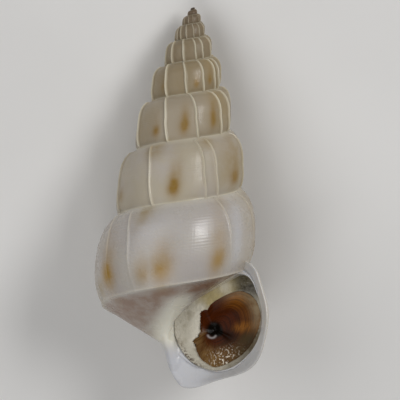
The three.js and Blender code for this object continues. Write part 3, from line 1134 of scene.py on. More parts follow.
@dataclass(frozen=True)
class PorcelainFinish:
    """The shell: glossy cream, tan on the early turns, brown spots, pale ribs and a white lip, with some
    painted shade.
    """

    # Colour by turn: the early turns' own tan, made darker towards the apex as painted shade where less light
    # reaches the spire.
    ages: tuple[tuple[float, Colour], ...] = (
        (3.9, (0.036, 0.02, 0.01)),
        (5.0, (0.115, 0.07, 0.034)),
        (7.5, (0.22, 0.168, 0.1)),
        (9.3, (0.29, 0.225, 0.13)),
        (10.3, (0.36, 0.3, 0.215)),
        (11.3, (0.45, 0.395, 0.3)),
        (12.2, (0.48, 0.445, 0.4)),
        (13.07, (0.52, 0.5, 0.47)),
    )
    lilac: Colour = (0.45, 0.41, 0.4)
    rib: Colour = (0.74, 0.69, 0.54)
    lip: Colour = (0.56, 0.565, 0.595)
    # Grey on the lip's lower right: painted shade where the lip faces away from the light.
    painted_lip_shade: Colour = (0.36, 0.35, 0.335)
    rim: Colour = (0.6, 0.53, 0.38)
    pillar: Colour = (0.74, 0.71, 0.6)
    brown: Colour = (0.26, 0.145, 0.014)
    ochre: Colour = (0.345, 0.19, 0.012)
    tan: Colour = (0.32, 0.23, 0.1)
    plum: Colour = (0.28, 0.178, 0.125)
    throat: Colour = (0.4, 0.38, 0.34)
    roughness: Pair = (0.22, 0.37)
    aged: float = 0.13
    stain_breaks: float = 0.45
    spot_breaks: float = 0.22
    threads: float = 46.0
    grit_per_m: float = 1500.0
    clouds_per_m: float = 420.0
    wear_per_m: float = 900.0
    lines: Pair = (160.0, 3.0)
    cloudy_turns: Pair = (10.0, 11.5)
    ochre_turns: Pair = (11.6, 12.1)
    aged_turns: Pair = (11.4, 12.1)
    thread_relief: Pair = (0.26, 0.000006)
    line_relief: Pair = (0.35, 0.00003)
    glow: float = 0.2
    glow_reach: float = 0.0004
    glow_colours: Colour = (1.0, 0.8, 0.6)
    coat: float = 0.12
    coat_roughness: float = 0.12

    def material(self) -> bpy.types.Material:
        """Lay the colours by the mesh's own marks, then threads, growth lines and gloss.

        Returns:
            The material.
        """
        n = NodeSheet("shell_porcelain")
        place = n.place()
        turn, down = n.growth()
        ragged = n.spread(n.noise(place, self.grit_per_m), 0.3, 0.6)
        rough = n.sums("MULTIPLY_ADD", ragged, self.stain_breaks, 1 - self.stain_breaks)
        even = n.sums("MULTIPLY_ADD", ragged, self.spot_breaks, 1 - self.spot_breaks)
        clouds = n.spread(n.noise(place, self.clouds_per_m, 4.0, 0.55), 0.4, 0.65, 0.0, 0.5)
        # Colour by turn, partly painted shade that darkens the spire towards the apex.
        colour = n.ramp(turn, self.ages)
        colour = n.mix(n.times(clouds, n.spread(turn, *self.cloudy_turns)), colour, self.lilac)
        # Tan stains, and the same tan over the back of each turn as painted shade.
        colour = n.tint(colour, "stain_and_back_shade", self.tan, rough)
        colour = n.tint(colour, "base", self.plum, rough)
        spot = n.mix(n.spread(turn, *self.ochre_turns), self.brown, self.ochre)
        colour = n.tint(colour, "spot", spot, even)
        colour = n.tint(colour, "rib", self.rib)
        colour = n.tint(colour, "pillar", self.pillar)
        colour = n.tint(colour, "lip", self.lip)
        # Painted shade: grey laid over the lip's lower right.
        colour = n.tint(colour, "painted_lip_shade", self.painted_lip_shade)
        colour = n.tint(colour, "rim", self.rim)
        colour = n.tint(colour, "throat", self.throat)
        thread = n.sums("SINE", n.times(down, self.threads * WHOLE_TURN))
        lines = n.grain(turn, down, self.lines)
        calm = n.sums("SUBTRACT", 1.0, n.sums("MAXIMUM", n.mark("lip"), n.mark("pillar")))
        relief = n.bump(n.times(thread, calm), self.thread_relief)
        relief = n.bump(n.times(lines, calm), self.line_relief, relief)
        worn = n.spread(n.noise(place, self.wear_per_m), 0.3, 0.7, *self.roughness)
        inputs = {
            "Base Color": colour,
            "Normal": relief,
            "Roughness": n.sums("ADD", worn, n.spread(turn, *self.aged_turns, self.aged, 0.0)),
            "Subsurface Weight": self.glow,
            "Subsurface Radius": self.glow_colours,
            "Subsurface Scale": self.glow_reach,
            "Coat Weight": self.coat,
            "Coat Roughness": self.coat_roughness,
        }
        return n.shade(inputs)


@dataclass(frozen=True)
class DriedFleshFinish:
    """The dried foot: chalky off-white, straw towards the turn before, specked, browner under the lid's rim
    as painted shade, with a glossy film whose darkness is painted shade of the hollow behind it.
    """

    chalk: Colour = (0.47, 0.435, 0.35)
    warm: Colour = (0.35, 0.31, 0.23)
    straw: Colour = (0.41, 0.335, 0.16)
    bleached: Colour = (0.62, 0.58, 0.48)
    brown: Colour = (0.07, 0.04, 0.02)
    stained: Colour = (0.17, 0.125, 0.06)
    # Dark on the glossy film: painted shade of the gap into the hollow behind it.
    film_and_gap_shade: Colour = (0.06, 0.05, 0.03)
    roughness: Pair = (0.27, 0.57)
    wet: float = 0.6
    grain_per_m: float = 6500.0
    patches_per_m: float = 1500.0
    specks_per_m: float = 9000.0
    shine_per_m: float = 3000.0
    creases_per_m: float = 2200.0
    grain_relief: Pair = (0.7, 0.00005)
    crease_relief: Pair = (0.6, 0.0002)

    def material(self) -> bpy.types.Material:
        """Colour by the mesh's marks and two sizes of grain.

        Returns:
            The material.
        """
        n = NodeSheet("dried_flesh")
        place = n.place()
        grain = n.noise(place, self.grain_per_m, 4.0, 0.65)
        patches = n.noise(place, self.patches_per_m)
        specks = n.spread(n.noise(place, self.specks_per_m, 2.0), 0.46, 0.58)
        shine = n.spread(n.noise(place, self.shine_per_m), 0.35, 0.7, 0.72, 1.0)
        colour = n.mix(n.spread(patches, 0.48, 0.75), self.chalk, self.warm)
        colour = n.mix(n.spread(grain, 0.55, 0.75, 0.0, 0.5), colour, self.warm)
        colour = n.tint(colour, "straw", self.straw, n.spread(patches, 0.3, 0.6, 0.6, 1.0))
        colour = n.tint(colour, "bleached", self.bleached)
        colour = n.tint(colour, "stained", self.stained, n.spread(patches, 0.3, 0.6, 0.5, 1.0))
        # Brown specks, and painted shade where the foot runs under the lid's rim.
        colour = n.tint(colour, "speck", self.brown, specks)
        # Painted shade of the gap into the hollow, on the glossy film in the upper corner.
        colour = n.tint(colour, "film_and_gap_shade", self.film_and_gap_shade, shine)
        creased = n.bump(n.noise(place, self.creases_per_m, 4.0, 0.6), self.crease_relief)
        dry = n.spread(grain, 0.3, 0.7, *self.roughness)
        inputs = {
            "Base Color": colour,
            "Normal": n.bump(grain, self.grain_relief, creased),
            "Roughness": n.times(dry, n.sums("MULTIPLY_ADD", n.mark("film_and_gap_shade"), -self.wet, 1.0)),
        }
        return n.shade(inputs)


@dataclass(frozen=True)
class HornFinish:
    """The lid: glossy russet horn, black at its middle, golden below with painted glints, a painted highlight
    under its pit, paler to the edge.
    """

    dark: Colour = (0.003, 0.002, 0.001)
    russet: Colour = (0.06, 0.011, 0.001)
    deep: Colour = (0.028, 0.006, 0.001)
    amber: Colour = (0.33, 0.12, 0.012)
    pale: Colour = (0.37, 0.28, 0.165)
    olive: Colour = (0.065, 0.042, 0.012)
    gold: Colour = (0.2, 0.115, 0.04)
    # Bright flecks on the lower part: painted glints where the striated horn catches the light.
    painted_glint: Colour = (0.9, 0.82, 0.68)
    # A pale crescent under the pit: a painted highlight on the pit's lower rim.
    pit_highlight: Colour = (0.36, 0.33, 0.32)
    roughness: Pair = (0.14, 0.32)
    specular: float = 0.07
    arcs: Pair = (34.0, 5.0)
    streaks: Pair = (3.0, 70.0)
    glint_flecks: Pair = (15.0, 150.0)
    patches_per_m: float = 2600.0
    arc_relief: Pair = (0.2, 0.00001)
    streak_relief: Pair = (0.3, 0.00003)

    def material(self) -> bpy.types.Material:
        """Colour by the mesh's marks, growth arcs round the middle and streaks out from it.

        Returns:
            The material.
        """
        n = NodeSheet("lid_horn")
        share, around = n.growth()
        arcs = n.grain(share, around, self.arcs)
        streaks = n.grain(share, around, self.streaks, 3.0, 0.5)
        # Painted glints: bright flecks laid on the lower horn.
        glint_flecks = n.spread(n.grain(share, around, self.glint_flecks, 3.0), 0.53, 0.63)
        uneven = n.spread(n.noise(n.place(), self.patches_per_m), 0.3, 0.65, 0.55, 1.0)
        colour = n.mix(n.spread(arcs, 0.4, 0.65), self.russet, self.deep)
        colour = n.tint(colour, "amber", self.amber, n.spread(arcs, 0.38, 0.62, 1.0, 0.35))
        colour = n.tint(colour, "olive", self.olive, uneven)
        colour = n.tint(colour, "gold", self.gold, n.spread(streaks, 0.3, 0.6, 0.45, 1.0))
        colour = n.tint(colour, "painted_glint", self.painted_glint, glint_flecks)
        colour = n.tint(colour, "pale", self.pale, uneven)
        colour = n.tint(colour, "dark", self.dark)
        # Painted highlight: the pale crescent under the pit.
        colour = n.tint(colour, "pit_highlight", self.pit_highlight)
        streaked = n.times(streaks, n.mark("gold"))
        inputs = {
            "Base Color": colour,
            "Normal": n.bump(streaked, self.streak_relief, n.bump(arcs, self.arc_relief)),
            "Specular IOR Level": self.specular,
            "Roughness": n.spread(streaks, 0.3, 0.7, *self.roughness),
        }
        return n.shade(inputs)


def put_marks(mesh: bpy.types.Mesh, marks: dict[str, Array], domain: str) -> None:
    """Give the mesh named measures for its material to read.

    Args:
        mesh: The mesh.
        marks: Each measure's name and its values.
        domain: What has a value each, POINT or CORNER.
    """
    for name, values in marks.items():
        layer = mesh.attributes.new(name, "FLOAT", domain)
        layer.data.foreach_set("value", np.ascontiguousarray(values, np.float32))


def read_all(items: bpy.types.bpy_prop_collection, name: str, kind: type, width: int = 1) -> Array:
    """Read one property of every item.

    Args:
        items: A mesh's vertices, edges, faces or corners, or one of its layers.
        name: The property.
        kind: The type of its numbers.
        width: How many numbers each item has.

    Returns:
        One number for each item, or one row where the width is more than 1.
    """
    values = np.empty(len(items) * width, kind)
    items.foreach_get(name, values)
    return values.reshape(-1, width) if width > 1 else values


def read_places(mesh: bpy.types.Mesh) -> Array:
    """The mesh's vertices as rows of x, y, z."""
    return read_all(mesh.vertices, "co", np.float32, 3).astype(float)


def read_edges(mesh: bpy.types.Mesh) -> Array:
    """The mesh's edges as rows of two vertex numbers."""
    return read_all(mesh.edges, "vertices", np.int32, 2)


def write_places(mesh: bpy.types.Mesh, places: Array) -> None:
    """Put the vertices back."""
    mesh.vertices.foreach_set("co", places.astype(np.float32).ravel())
    mesh.update()


def keep_piece(thing: bpy.types.Object, node: str, material: bpy.types.Material) -> None:
    """Dress a piece and let it stand for its CAD node, on the body that the node rides on.

    Args:
        thing: The piece.
        node: The CAD node's name.
        material: What to dress it with.
    """
    thing.data.materials.clear()
    thing.data.materials.append(material)
    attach(thing, BODY)
    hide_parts(node)
    LOG.info("%s: %d faces", thing.name, len(thing.data.polygons))


@dataclass(frozen=True)
class ShellPaint:
    """Where the shell's colours and painted shade lie, by turn, share of the whorl, and direction from the
    mouth's middle.
    """

    rib_full: float = 0.1
    rib_strength: float = 0.8
    rib_dims: float = 0.45
    rib_dims_at: Ramp = Ramp(10.8, 0.4)
    cord: Hump = Hump(1.0, 1.0, 0.03)
    cord_strength: float = 0.55
    cord_dims: float = 0.35
    cord_dims_at: Ramp = Ramp(11.9, 0.3)
    suture: Hump = Hump(0.3, 0.0, 0.03)
    # Tan round the back and sides of each turn, away from the mouth: painted shade where those sides turn
    # from the light.
    back_at: float = 0.27
    back_shade: float = 0.55
    back_reach: float = 1.4
    fold_reach: float = 1.25
    pillar_at: Ramp = Ramp(-17.8, 1.2)
    white_at: Ramp = Ramp(12.95, 0.1)
    plum_at: Ramp = Ramp(1.01, 0.08)
    plum_dims: float = 0.6
    plum_dims_at: Ramp = Ramp(1.25, 0.5)
    parietal: Arc = Arc(1.0, 121.0, 38.0)
    parietal_plum: float = 0.7
    parietal_bare: float = 0.9
    # Where the painted shade on the lip lies: its lower right, facing away from the light.
    painted_lip_shade: Arc = Arc(0.75, -60.0, 42.0)
    cream: tuple[Arc, ...] = (Arc(0.4, 20.0, 45.0), Arc(0.8, 88.0, 26.0))
    lip_edge: Hump = Hump(0.8, 0.54, 0.05)
    throat_at: Ramp = Ramp(0.6, 0.8)


@dataclass
class ShellPiece:
    """The coiled shell with its lip, as one closed skin."""

    lying: Lying
    coil: Coil
    mouth: Mouth
    fold: ColumellaFold = ColumellaFold()
    colours: ShellPaint = ShellPaint()
    finish: PorcelainFinish = PorcelainFinish()
    cap_middle: Pair = (2.3, 15.6)
    axis_foot: float = 2.05
    least_area: float = 2e-10
    ease_pull: float = 0.5
    ease_edge: float = 0.4
    sharp_deg: float = 38.0

    def whorls(self) -> Skin:
        """The outside of every whorl as one spiral strip.

        A row runs along the spiral at a fixed share from the suture above to the suture below, so that
        the strip's lower edge is its own upper edge one turn on. The last turn goes on to the axis.

        Returns:
            The closed skin, with the mouth filled in.
        """
        coil = self.coil
        lap = coil.steps_per_turn
        column = coil.columns()[:, None]
        rise = np.linspace(1, 0, coil.shoulder_rows + 1)[:-1]
        rise = np.broadcast_to(rise, (len(column), coil.shoulder_rows))
        turn = np.minimum(column + coil.lean(-rise), coil.mouth_turn)
        above = coil.surface(coil.upper(rise, turn), coil.ribs(turn, -rise), turn)
        above[:, 0] = coil.at(*coil.suture(turn[:, 0]), turn[:, 0])
        fall = np.broadcast_to(np.array(coil.flank_rows), (len(column), len(coil.flank_rows)))
        turns = np.concatenate([turn, np.minimum(column + coil.lean(fall), coil.mouth_turn)], axis=1)
        turn = turns[:, coil.shoulder_rows :]
        share = fall * coil.cord_at
        under = coil.surface(coil.lower(share, turn), coil.ribs(turn, fall) + coil.cord(turn, share), turn)
        ahead = round((1 + coil.lean(np.array(1.0)) - coil.lean(np.array(-1.0))) * lap)
        under[:-lap, -1] = above[ahead : ahead + len(column) - lap, 0]
        spire = np.concatenate([above, under], axis=1)
        spire[turns[:, -1] <= coil.tip_turn + coil.tip_point_turns] = spire[0, 0]
        at = coil.widest_at
        down = np.concatenate([at * (1 - rise[0]), at + (1 - at) * fall[0]])
        growth = np.stack(np.broadcast_arrays(turns, down), axis=-1)

        inward = np.broadcast_to(np.array(coil.base_rows), (lap + 1, len(coil.base_rows)))
        last = np.broadcast_to(turn[-lap - 1 :, -1:], inward.shape)
        share = coil.cord_at + (1 - coil.cord_at) * inward
        cone = coil.surface(coil.lower(share, last), coil.cord(last, share), last)
        cone[:, 0] = spire[-lap - 1 :, -1]
        cone[:, -1] = coil.at(np.full(lap + 1, coil.axis_gap), -cone[:, -1, 1], last[:, -1])
        foot = np.broadcast_to(np.array([0.0, -coil.base_end, 0.0]), (lap + 1, 1, 3))
        cone = np.concatenate([cone, foot], axis=1)
        down = np.append(1 + inward[0], self.axis_foot)
        cone_growth = np.stack(np.broadcast_arrays(last[:, :1], down), axis=-1)

        rim = np.concatenate([spire[-1, :-1], cone[-1], cone[0, -2::-1]])
        middle = coil.at(*np.array(self.cap_middle), np.array(coil.mouth_turn))
        cap = np.stack([np.broadcast_to(middle, rim.shape), rim])
        skin = Skin("porcelain_shell", self.lying)
        skin.add(spire, growth)
        skin.add(cone, cone_growth)
        skin.add(cap, np.full((2, len(rim), 2), (coil.mouth_turn, 1.0)), Zone.LIP)
        return skin

    def build(self) -> bpy.types.Object:
        """Join the whorls, the lip and the hollow, lay the result down, and dress it.

        Returns:
            The piece.
        """
        shell = self.whorls().build()
        lip = Skin("lip", self.lying)
        ring = self.mouth.lip()
        across = np.broadcast_to(np.linspace(0, 1, ring.shape[1]), ring.shape[:2])
        lip.add(ring, np.stack([np.full(ring.shape[:2], self.coil.mouth_turn), across], axis=-1), Zone.LIP)
        last = (self.coil.mouth_turn, 0.0)
        fold = Skin("fold", self.lying)
        tube = self.fold.tube()
        fold.add(tube, np.full((*tube.shape[:2], 2), last), Zone.LIP)
        hollow = Skin("hollow", self.lying)
        tube = self.mouth.hollow()
        hollow.add(tube, np.full((*tube.shape[:2], 2), last), Zone.THROAT)
        steps = [(lip, Join.UNION), (fold, Join.UNION), (hollow, Join.DIFFERENCE)]
        join_skins(shell, [(skin.build(), join) for skin, join in steps])
        mesh = shell.data
        self.refine(mesh)
        self.ease(mesh)
        self.paint(mesh)
        mesh.shade_smooth()
        mesh.set_sharp_from_angle(angle=np.radians(self.sharp_deg))
        keep_piece(shell, "shell", self.finish.material())
        return shell

    def fold_distance(self, mesh: bpy.types.Mesh) -> Array:
        """How far each vertex is from the columella fold, in millimetres."""
        return self.fold.distance(self.lying.in_shell(read_places(mesh)))

    def refine(self, mesh: bpy.types.Mesh, passes: int = 3, longest: float = 0.09) -> None:
        """Halve the long edges round the columella fold, so that it can be eased into the base.

        Edges on which more than two faces meet are drawn together at the end.

        Args:
            mesh: The shell.
            passes: How often to halve.
            longest: Edges up to this length stay, in millimetres.
        """
        for _ in range(passes):
            near = self.fold_distance(mesh) < self.fold.eased_over
            places = read_places(mesh)
            ends = read_edges(mesh)
            length = np.linalg.norm(places[ends[:, 0]] - places[ends[:, 1]], axis=1) / MM
            chosen = np.flatnonzero(near[ends].all(axis=1) & (length > longest))
            shape = bmesh.new()
            shape.from_mesh(mesh)
            shape.edges.ensure_lookup_table()
            edges = [shape.edges[i] for i in chosen]
            edges = [e for e in edges if min(f.calc_area() for f in e.link_faces) > self.least_area]
            made = bmesh.ops.subdivide_edges(shape, edges=edges, cuts=1)
            touched = {f for e in made["geom"] if isinstance(e, bmesh.types.BMEdge) for f in e.link_faces}
            bmesh.ops.triangulate(shape, faces=list(touched))
            pinched = [e for e in shape.edges if len(e.link_faces) > 2]
            bmesh.ops.collapse(shape, edges=pinched, uvs=True)
            bare = [e for e in shape.edges if not e.link_faces]
            bmesh.ops.delete(shape, geom=bare, context="EDGES")
            shape.to_mesh(mesh)
            shape.free()

    def ease(self, mesh: bpy.types.Mesh, rounds: int = 24) -> None:
        """Move each vertex near the fold part of the way to its neighbours' mean, again and again.

        Args:
            mesh: The shell, which is also worn flat where it goes below the floor.
            rounds: How often to move.
        """
        places = read_places(mesh)
        a, b = read_edges(mesh).T
        count = len(places)
        share = np.bincount(a, minlength=count) + np.bincount(b, minlength=count)
        inside = (self.fold.eased_over - self.fold_distance(mesh)) / self.ease_edge
        pull = self.ease_pull * smooth_ramp(inside)[:, None]
        for _ in range(rounds):
            ahead = [np.bincount(a, places[b, k], count) for k in range(3)]
            behind = [np.bincount(b, places[a, k], count) for k in range(3)]
            mean = (np.stack(ahead, axis=1) + np.stack(behind, axis=1)) / share[:, None]
            places += pull * (mean - places)
        places[:, 2] = np.maximum(places[:, 2], 0)
        write_places(mesh, places)

    def corners(self, mesh: bpy.types.Mesh) -> tuple[Array, Array, Array]:
        """What the mesh carries at every corner of its faces.

        Args:
            mesh: The shell.

        Returns:
            The growth map's coordinates, the face's zone, and the number of the corner's vertex.
        """
        growth = read_all(mesh.uv_layers[GROWTH_MAP].uv, "vector", np.float32, 2).astype(float)
        zone = read_all(mesh.attributes["zone"].data, "value", np.int32)
        sides = read_all(mesh.polygons, "loop_total", np.int32)
        return growth, np.repeat(zone, sides), read_all(mesh.loops, "vertex_index", np.int32)

    def paint(self, mesh: bpy.types.Mesh) -> None:
        """Work out the marks that the finish reads, from the growth map, the zones and the place.

        Args:
            mesh: The shell, which gets the marks.
        """
        plan = self.colours
        growth, zone, vertex = self.corners(mesh)
        whorl = zone == Zone.WHORL.value
        turn, down = growth.T
        rib = self.coil.ribs(turn, self.coil.down_from_map(down)) / plan.rib_full
        rib *= plan.rib_strength * (1 - plan.rib_dims * plan.rib_dims_at.at(turn))
        cord = (plan.cord_strength - plan.cord_dims * plan.cord_dims_at.at(turn)) * plan.cord.at(down)
        # Painted shade: tan rising round the back of each turn, away from the mouth side.
        far = 0.5 - 0.5 * np.cos(WHOLE_TURN * (turn - plan.back_at))
        behind = plan.back_shade * smooth_ramp(plan.back_reach * far)
        local = self.lying.in_shell(read_places(mesh))[vertex]
        x, y, ahead = self.mouth.plane.from_shell(local).T
        around = np.arctan2(y, x)
        close = 1 - self.fold_distance(mesh)[vertex] / self.fold.white_over
        close = smooth_ramp(plan.fold_reach * close)
        pillar = close * plan.pillar_at.at(local[:, 1])
        white = np.maximum(plan.white_at.at(turn), close - pillar)
        white = np.maximum(white, paint_marks(BLOOMS, growth))
        parietal = plan.parietal.at(around)
        bare = (1 - pillar) * (1 - plan.parietal_bare * parietal)
        plum = plan.plum_at.at(down) * (1 - plan.plum_dims * plan.plum_dims_at.at(down))
        cream = np.max([arc.at(around) for arc in plan.cream], axis=0)
        edge = (zone == Zone.LIP.value) * plan.lip_edge.at(down)
        marks = {
            "rib": whorl * np.clip(np.maximum(rib, cord + plan.suture.at(down)), 0, 1),
            "spot": whorl * paint_marks(SPOTS, growth),
            # Real tan stains, with the painted shade over the back of each turn.
            "stain_and_back_shade": whorl * np.maximum(paint_marks(STAINS, growth), behind),
            "base": np.where(whorl, plum, plan.parietal_plum * parietal) * (1 - close),
            "pillar": pillar,
            "lip": np.where(whorl, white, bare),
            # Painted shade on the lip's lower right.
            "painted_lip_shade": ~whorl * plan.painted_lip_shade.at(around),
            "rim": ~whorl * np.maximum(edge, cream),
            "throat": (zone == Zone.THROAT.value) * plan.throat_at.at(-ahead),
        }
        put_marks(mesh, marks, "CORNER")


@dataclass(frozen=True)
class LidPaint:
    """Where the lid's colours, painted glints and painted highlight lie, by direction from the pit and share
    of the way to the rim.
    """

    amber_up: tuple[Arc, ...] = (Arc(0.85, 52.0, 17.0), Arc(0.55, 30.0, 22.0))
    amber_up_at: Ramp = Ramp(0.48, 0.34)
    amber_low: Arc = Arc(1.0, 8.0, 11.0)
    amber_low_at: Ramp = Ramp(0.3, 0.3)
    pale: Arc = Arc(1.0, 30.0, 32.0)
    pale_at: Ramp = Ramp(0.72, 0.24)
    olive: Arc = Arc(1.0, -22.0, 26.0)
    olive_at: Ramp = Ramp(0.5, 0.3)
    gold: tuple[Arc, ...] = (Arc(1.0, -85.0, 42.0), Arc(0.75, -145.0, 26.0))
    gold_at: Ramp = Ramp(0.32, 0.5)
    # Where the painted glints lie: the lower part, out towards the rim.
    painted_glint: Arc = Arc(1.0, -66.0, 24.0)
    painted_glint_at: Ramp = Ramp(0.45, 0.3)
    dark_at: Ramp = Ramp(0.52, -0.25)
    dark_wedge: Hump = Hump(0.85, 0.28, 0.3)
    # Where the painted highlight under the pit lies: a thin squashed ring below it.
    pit_highlight_middle: Pair = (-0.12, -0.26)
    pit_highlight_squash: float = 1.25
    pit_highlight_ring: Hump = Hump(0.8, 0.2, 0.055)
    pit_highlight_at: Ramp = Ramp(-0.22, -0.1)


@dataclass
class OperculumPiece:
    """The horny lid: a shallow dish with an off-centre pit, broken along its axis side."""

    lying: Lying
    plane: RadialPlane = RadialPlane(14.0, 2.42, 15.7)
    rim: tuple[Pair, ...] = (
        (1.86, -0.05),
        (1.88, 0.45),
        (1.59, 1.2),
        (0.95, 1.58),
        (0.28, 1.46),
        (-0.47, 1.05),
        (-0.8, 0.72),
        (-0.86, 0.6),
        (-1.08, 0.5),
        (-1.16, 0.42),
        (-1.22, 0.2),
        (-1.21, -0.2),
        (-1.19, -0.55),
        (-1.22, -0.7),
        (-1.42, -1.0),
        (-1.45, -1.1),
        (-1.4, -1.25),
        (-1.17, -1.8),
        (-0.75, -2.1),
        (-0.2, -2.25),
        (0.75, -1.8),
        (1.36, -1.23),
        (1.7, -0.6),
    )
    pit: Pair = (-0.51, -0.4)
    dish: float = 0.3
    thickness: float = 0.09
    thick_middle: float = 1.1
    thins: float = 0.75
    least_thick: float = 0.02
    sink: float = 0.1
    pit_dip: Hump = Hump(0.16, 0.0, 0.22)
    even_waves: int = 4
    teeth_at: Ramp = Ramp(-0.35, -0.2)
    teeth_share: Ramp = Ramp(0.85, 0.15)
    teeth_waves: tuple[tuple[float, float, float], ...] = ((0.04, 13.0, 0.0), (0.035, 31.0, 1.0))
    arc_height: float = 0.0015
    arc_count: int = 15
    arc_share: Ramp = Ramp(0.0, 0.3)
    streak_height: float = 0.0022
    streak_count: int = 46
    streak_at: Ramp = Ramp(-0.25, -0.4)
    crease: Hump = Hump(-0.05, 0.0, 0.16)
    crease_deg: float = -18.0
    crease_curl: float = 0.25
    crease_along: Hump = Hump(1.0, 0.35, 0.35)
    crease_share: Ramp = Ramp(0.0, 0.1)
    sharp_deg: float = 50.0
    rings: int = 49
    colours: LidPaint = LidPaint()
    finish: HornFinish = HornFinish()

    def edge(self, count: int = 240) -> Array:
        """The rim from the pit, as a closed curve."""
        rim = closed_spline(np.array(self.rim), count) - np.array(self.pit)
        return np.concatenate([rim, rim[:1]])

    def teeth(self, rim: Array) -> Array:
        """How far the broken side's small teeth move the rim sideways."""
        waves = [high * np.sin(often * rim[:, 1] + start) for high, often, start in self.teeth_waves]
        return self.teeth_at.at(rim[:, 0]) * np.sum(waves, axis=0)

    def outside(self, points: Array) -> Array:
        """How far points are outside the rim, measured from the pit.

        Args:
            points: Places in the shell's millimetres.

        Returns:
            Millimetres, less than 0 inside the rim.
        """
        flat = self.plane.from_shell(points)[..., :2] - np.array(self.pit)
        rim = self.edge()[:-1]
        towards = np.arctan2(rim[:, 1], rim[:, 0])
        order = np.argsort(towards)
        angle = np.arctan2(flat[..., 1], flat[..., 0])
        reach = np.interp(angle, towards[order], np.hypot(*rim[order].T), period=WHOLE_TURN)
        return np.hypot(flat[..., 0], flat[..., 1]) - reach

    def build(self) -> bpy.types.Object:
        """The dish's front and back as rings round its pit, closed at the rim.

        Returns:
            The piece.
        """
        rim = self.edge()
        share = np.linspace(0, 1, self.rings)[:, None]
        flat = rim * share[..., None]
        reach = np.hypot(*rim[:-1].T)
        even = np.fft.irfft(np.fft.rfft(reach)[: self.even_waves], len(reach))
        out = share * np.append(reach, reach[0]) / np.append(even, even[0])
        bowl = self.dish * (1 - out**2)
        flat[..., 0] += self.teeth(rim) * self.teeth_share.at(share)
        angle = np.arctan2(flat[..., 1], flat[..., 0])
        away = np.hypot(flat[..., 0], flat[..., 1])
        turn = np.linspace(0, 1, len(rim))
        arcs = self.arc_height * np.sin(WHOLE_TURN * (self.arc_count * share + turn))
        arcs = arcs * self.arc_share.at(share)
        streaks = self.streak_height * np.sin(WHOLE_TURN * self.streak_count * turn) * share
        streaks = streaks * self.streak_at.at(flat[..., 1])
        aside = angle_between(angle, np.radians(self.crease_deg) - self.crease_curl * share)
        crease = self.crease.at(aside) * self.crease_along.at(share) * self.crease_share.at(share)
        front = arcs + streaks + crease - self.pit_dip.at(away) - bowl - self.sink
        back = -bowl - self.thickness * (self.thick_middle - self.thins * share**4) - self.sink
        back = np.minimum(np.broadcast_to(back, front.shape), front - self.least_thick)
        pit = np.array(self.pit)
        top = np.concatenate([flat + pit, front[..., None]], axis=-1)
        under = np.concatenate([flat + pit, back[..., None]], axis=-1)
        grid = np.concatenate([top, under[::-1]])
        skin = Skin("horny_lid", self.lying)
        grow = np.stack(np.broadcast_arrays(np.concatenate([share, share[::-1]]), turn), axis=-1)
        skin.add(self.plane.to_shell(grid), grow)
        lid = skin.build()
        self.paint(lid.data)
        lid.data.shade_smooth()
        lid.data.set_sharp_from_angle(angle=np.radians(self.sharp_deg))
        keep_piece(lid, "operculum", self.finish.material())
        return lid

    def paint(self, mesh: bpy.types.Mesh) -> None:
        """Work out the marks that the finish reads, from each place's direction and distance from the pit.

        Args:
            mesh: The lid, which gets the marks.
        """
        plan = self.colours
        local = self.lying.in_shell(read_places(mesh))
        x, y = (self.plane.from_shell(local)[:, :2] - np.array(self.pit)).T
        away, angle = np.hypot(x, y), np.arctan2(y, x)
        share = np.clip(away / np.maximum(away - self.outside(local), 1e-6), 0, 1)
        upper = np.max([arc.at(angle) for arc in plan.amber_up], axis=0) * plan.amber_up_at.at(share)
        lower = plan.amber_low.at(angle) * plan.amber_low_at.at(share)
        olive = plan.olive.at(angle)
        gold = np.max([arc.at(angle) for arc in plan.gold], axis=0)
        ring = np.hypot(x - plan.pit_highlight_middle[0], plan.pit_highlight_squash * (y - plan.pit_highlight_middle[1]))
        marks = {
            "amber": np.maximum(upper, lower),
            "pale": plan.pale.at(angle) * (1 - olive) * plan.pale_at.at(share),
            "olive": olive * plan.olive_at.at(share),
            "gold": gold * plan.gold_at.at(share),
            # Painted glints on the lower horn.
            "painted_glint": plan.painted_glint.at(angle) * plan.painted_glint_at.at(share),
            "dark": np.clip(plan.dark_at.at(away) + olive * plan.dark_wedge.at(share), 0, 1),
            # Painted highlight under the pit.
            "pit_highlight": plan.pit_highlight_ring.at(ring) * plan.pit_highlight_at.at(y),
        }
        put_marks(mesh, marks, "POINT")


@dataclass(frozen=True)
class FleshPaint:
    """Where the dried foot's colours lie, across the seat's plane and round its middle."""

    straw_in: Ramp = Ramp(0.95, -0.4)
    straw_across: Ramp = Ramp(-1.7, 0.8)
    bleached: Hump = Hump(1.0, 0.18, 0.24)
    bleached_across: Ramp = Ramp(-0.8, -0.4)
    bleached_up: Ramp = Ramp(-1.3, 0.6)
    corner_middle: Pair = (0.0, 1.95)
    corner: Hump = Hump(0.8, 0.0, 0.35)
    # Where the film and its painted gap shade lie, in the mouth's upper corner.
    film_and_gap_shade_across: Ramp = Ramp(0.05, 0.95)
    film_and_gap_shade_up: Ramp = Ramp(1.1, 0.8)
    stained: Arc = Arc(1.0, -32.0, 40.0)
    speck: Arc = Arc(1.0, -134.0, 24.0)
    speck_out: Ramp = Ramp(0.84, 0.1)
    # Brown laid where the foot runs under the lid's rim: painted shade under the lid.
    lid_shade_under: float = 0.8
    lid_shade_under_at: Ramp = Ramp(0.0, -0.1)


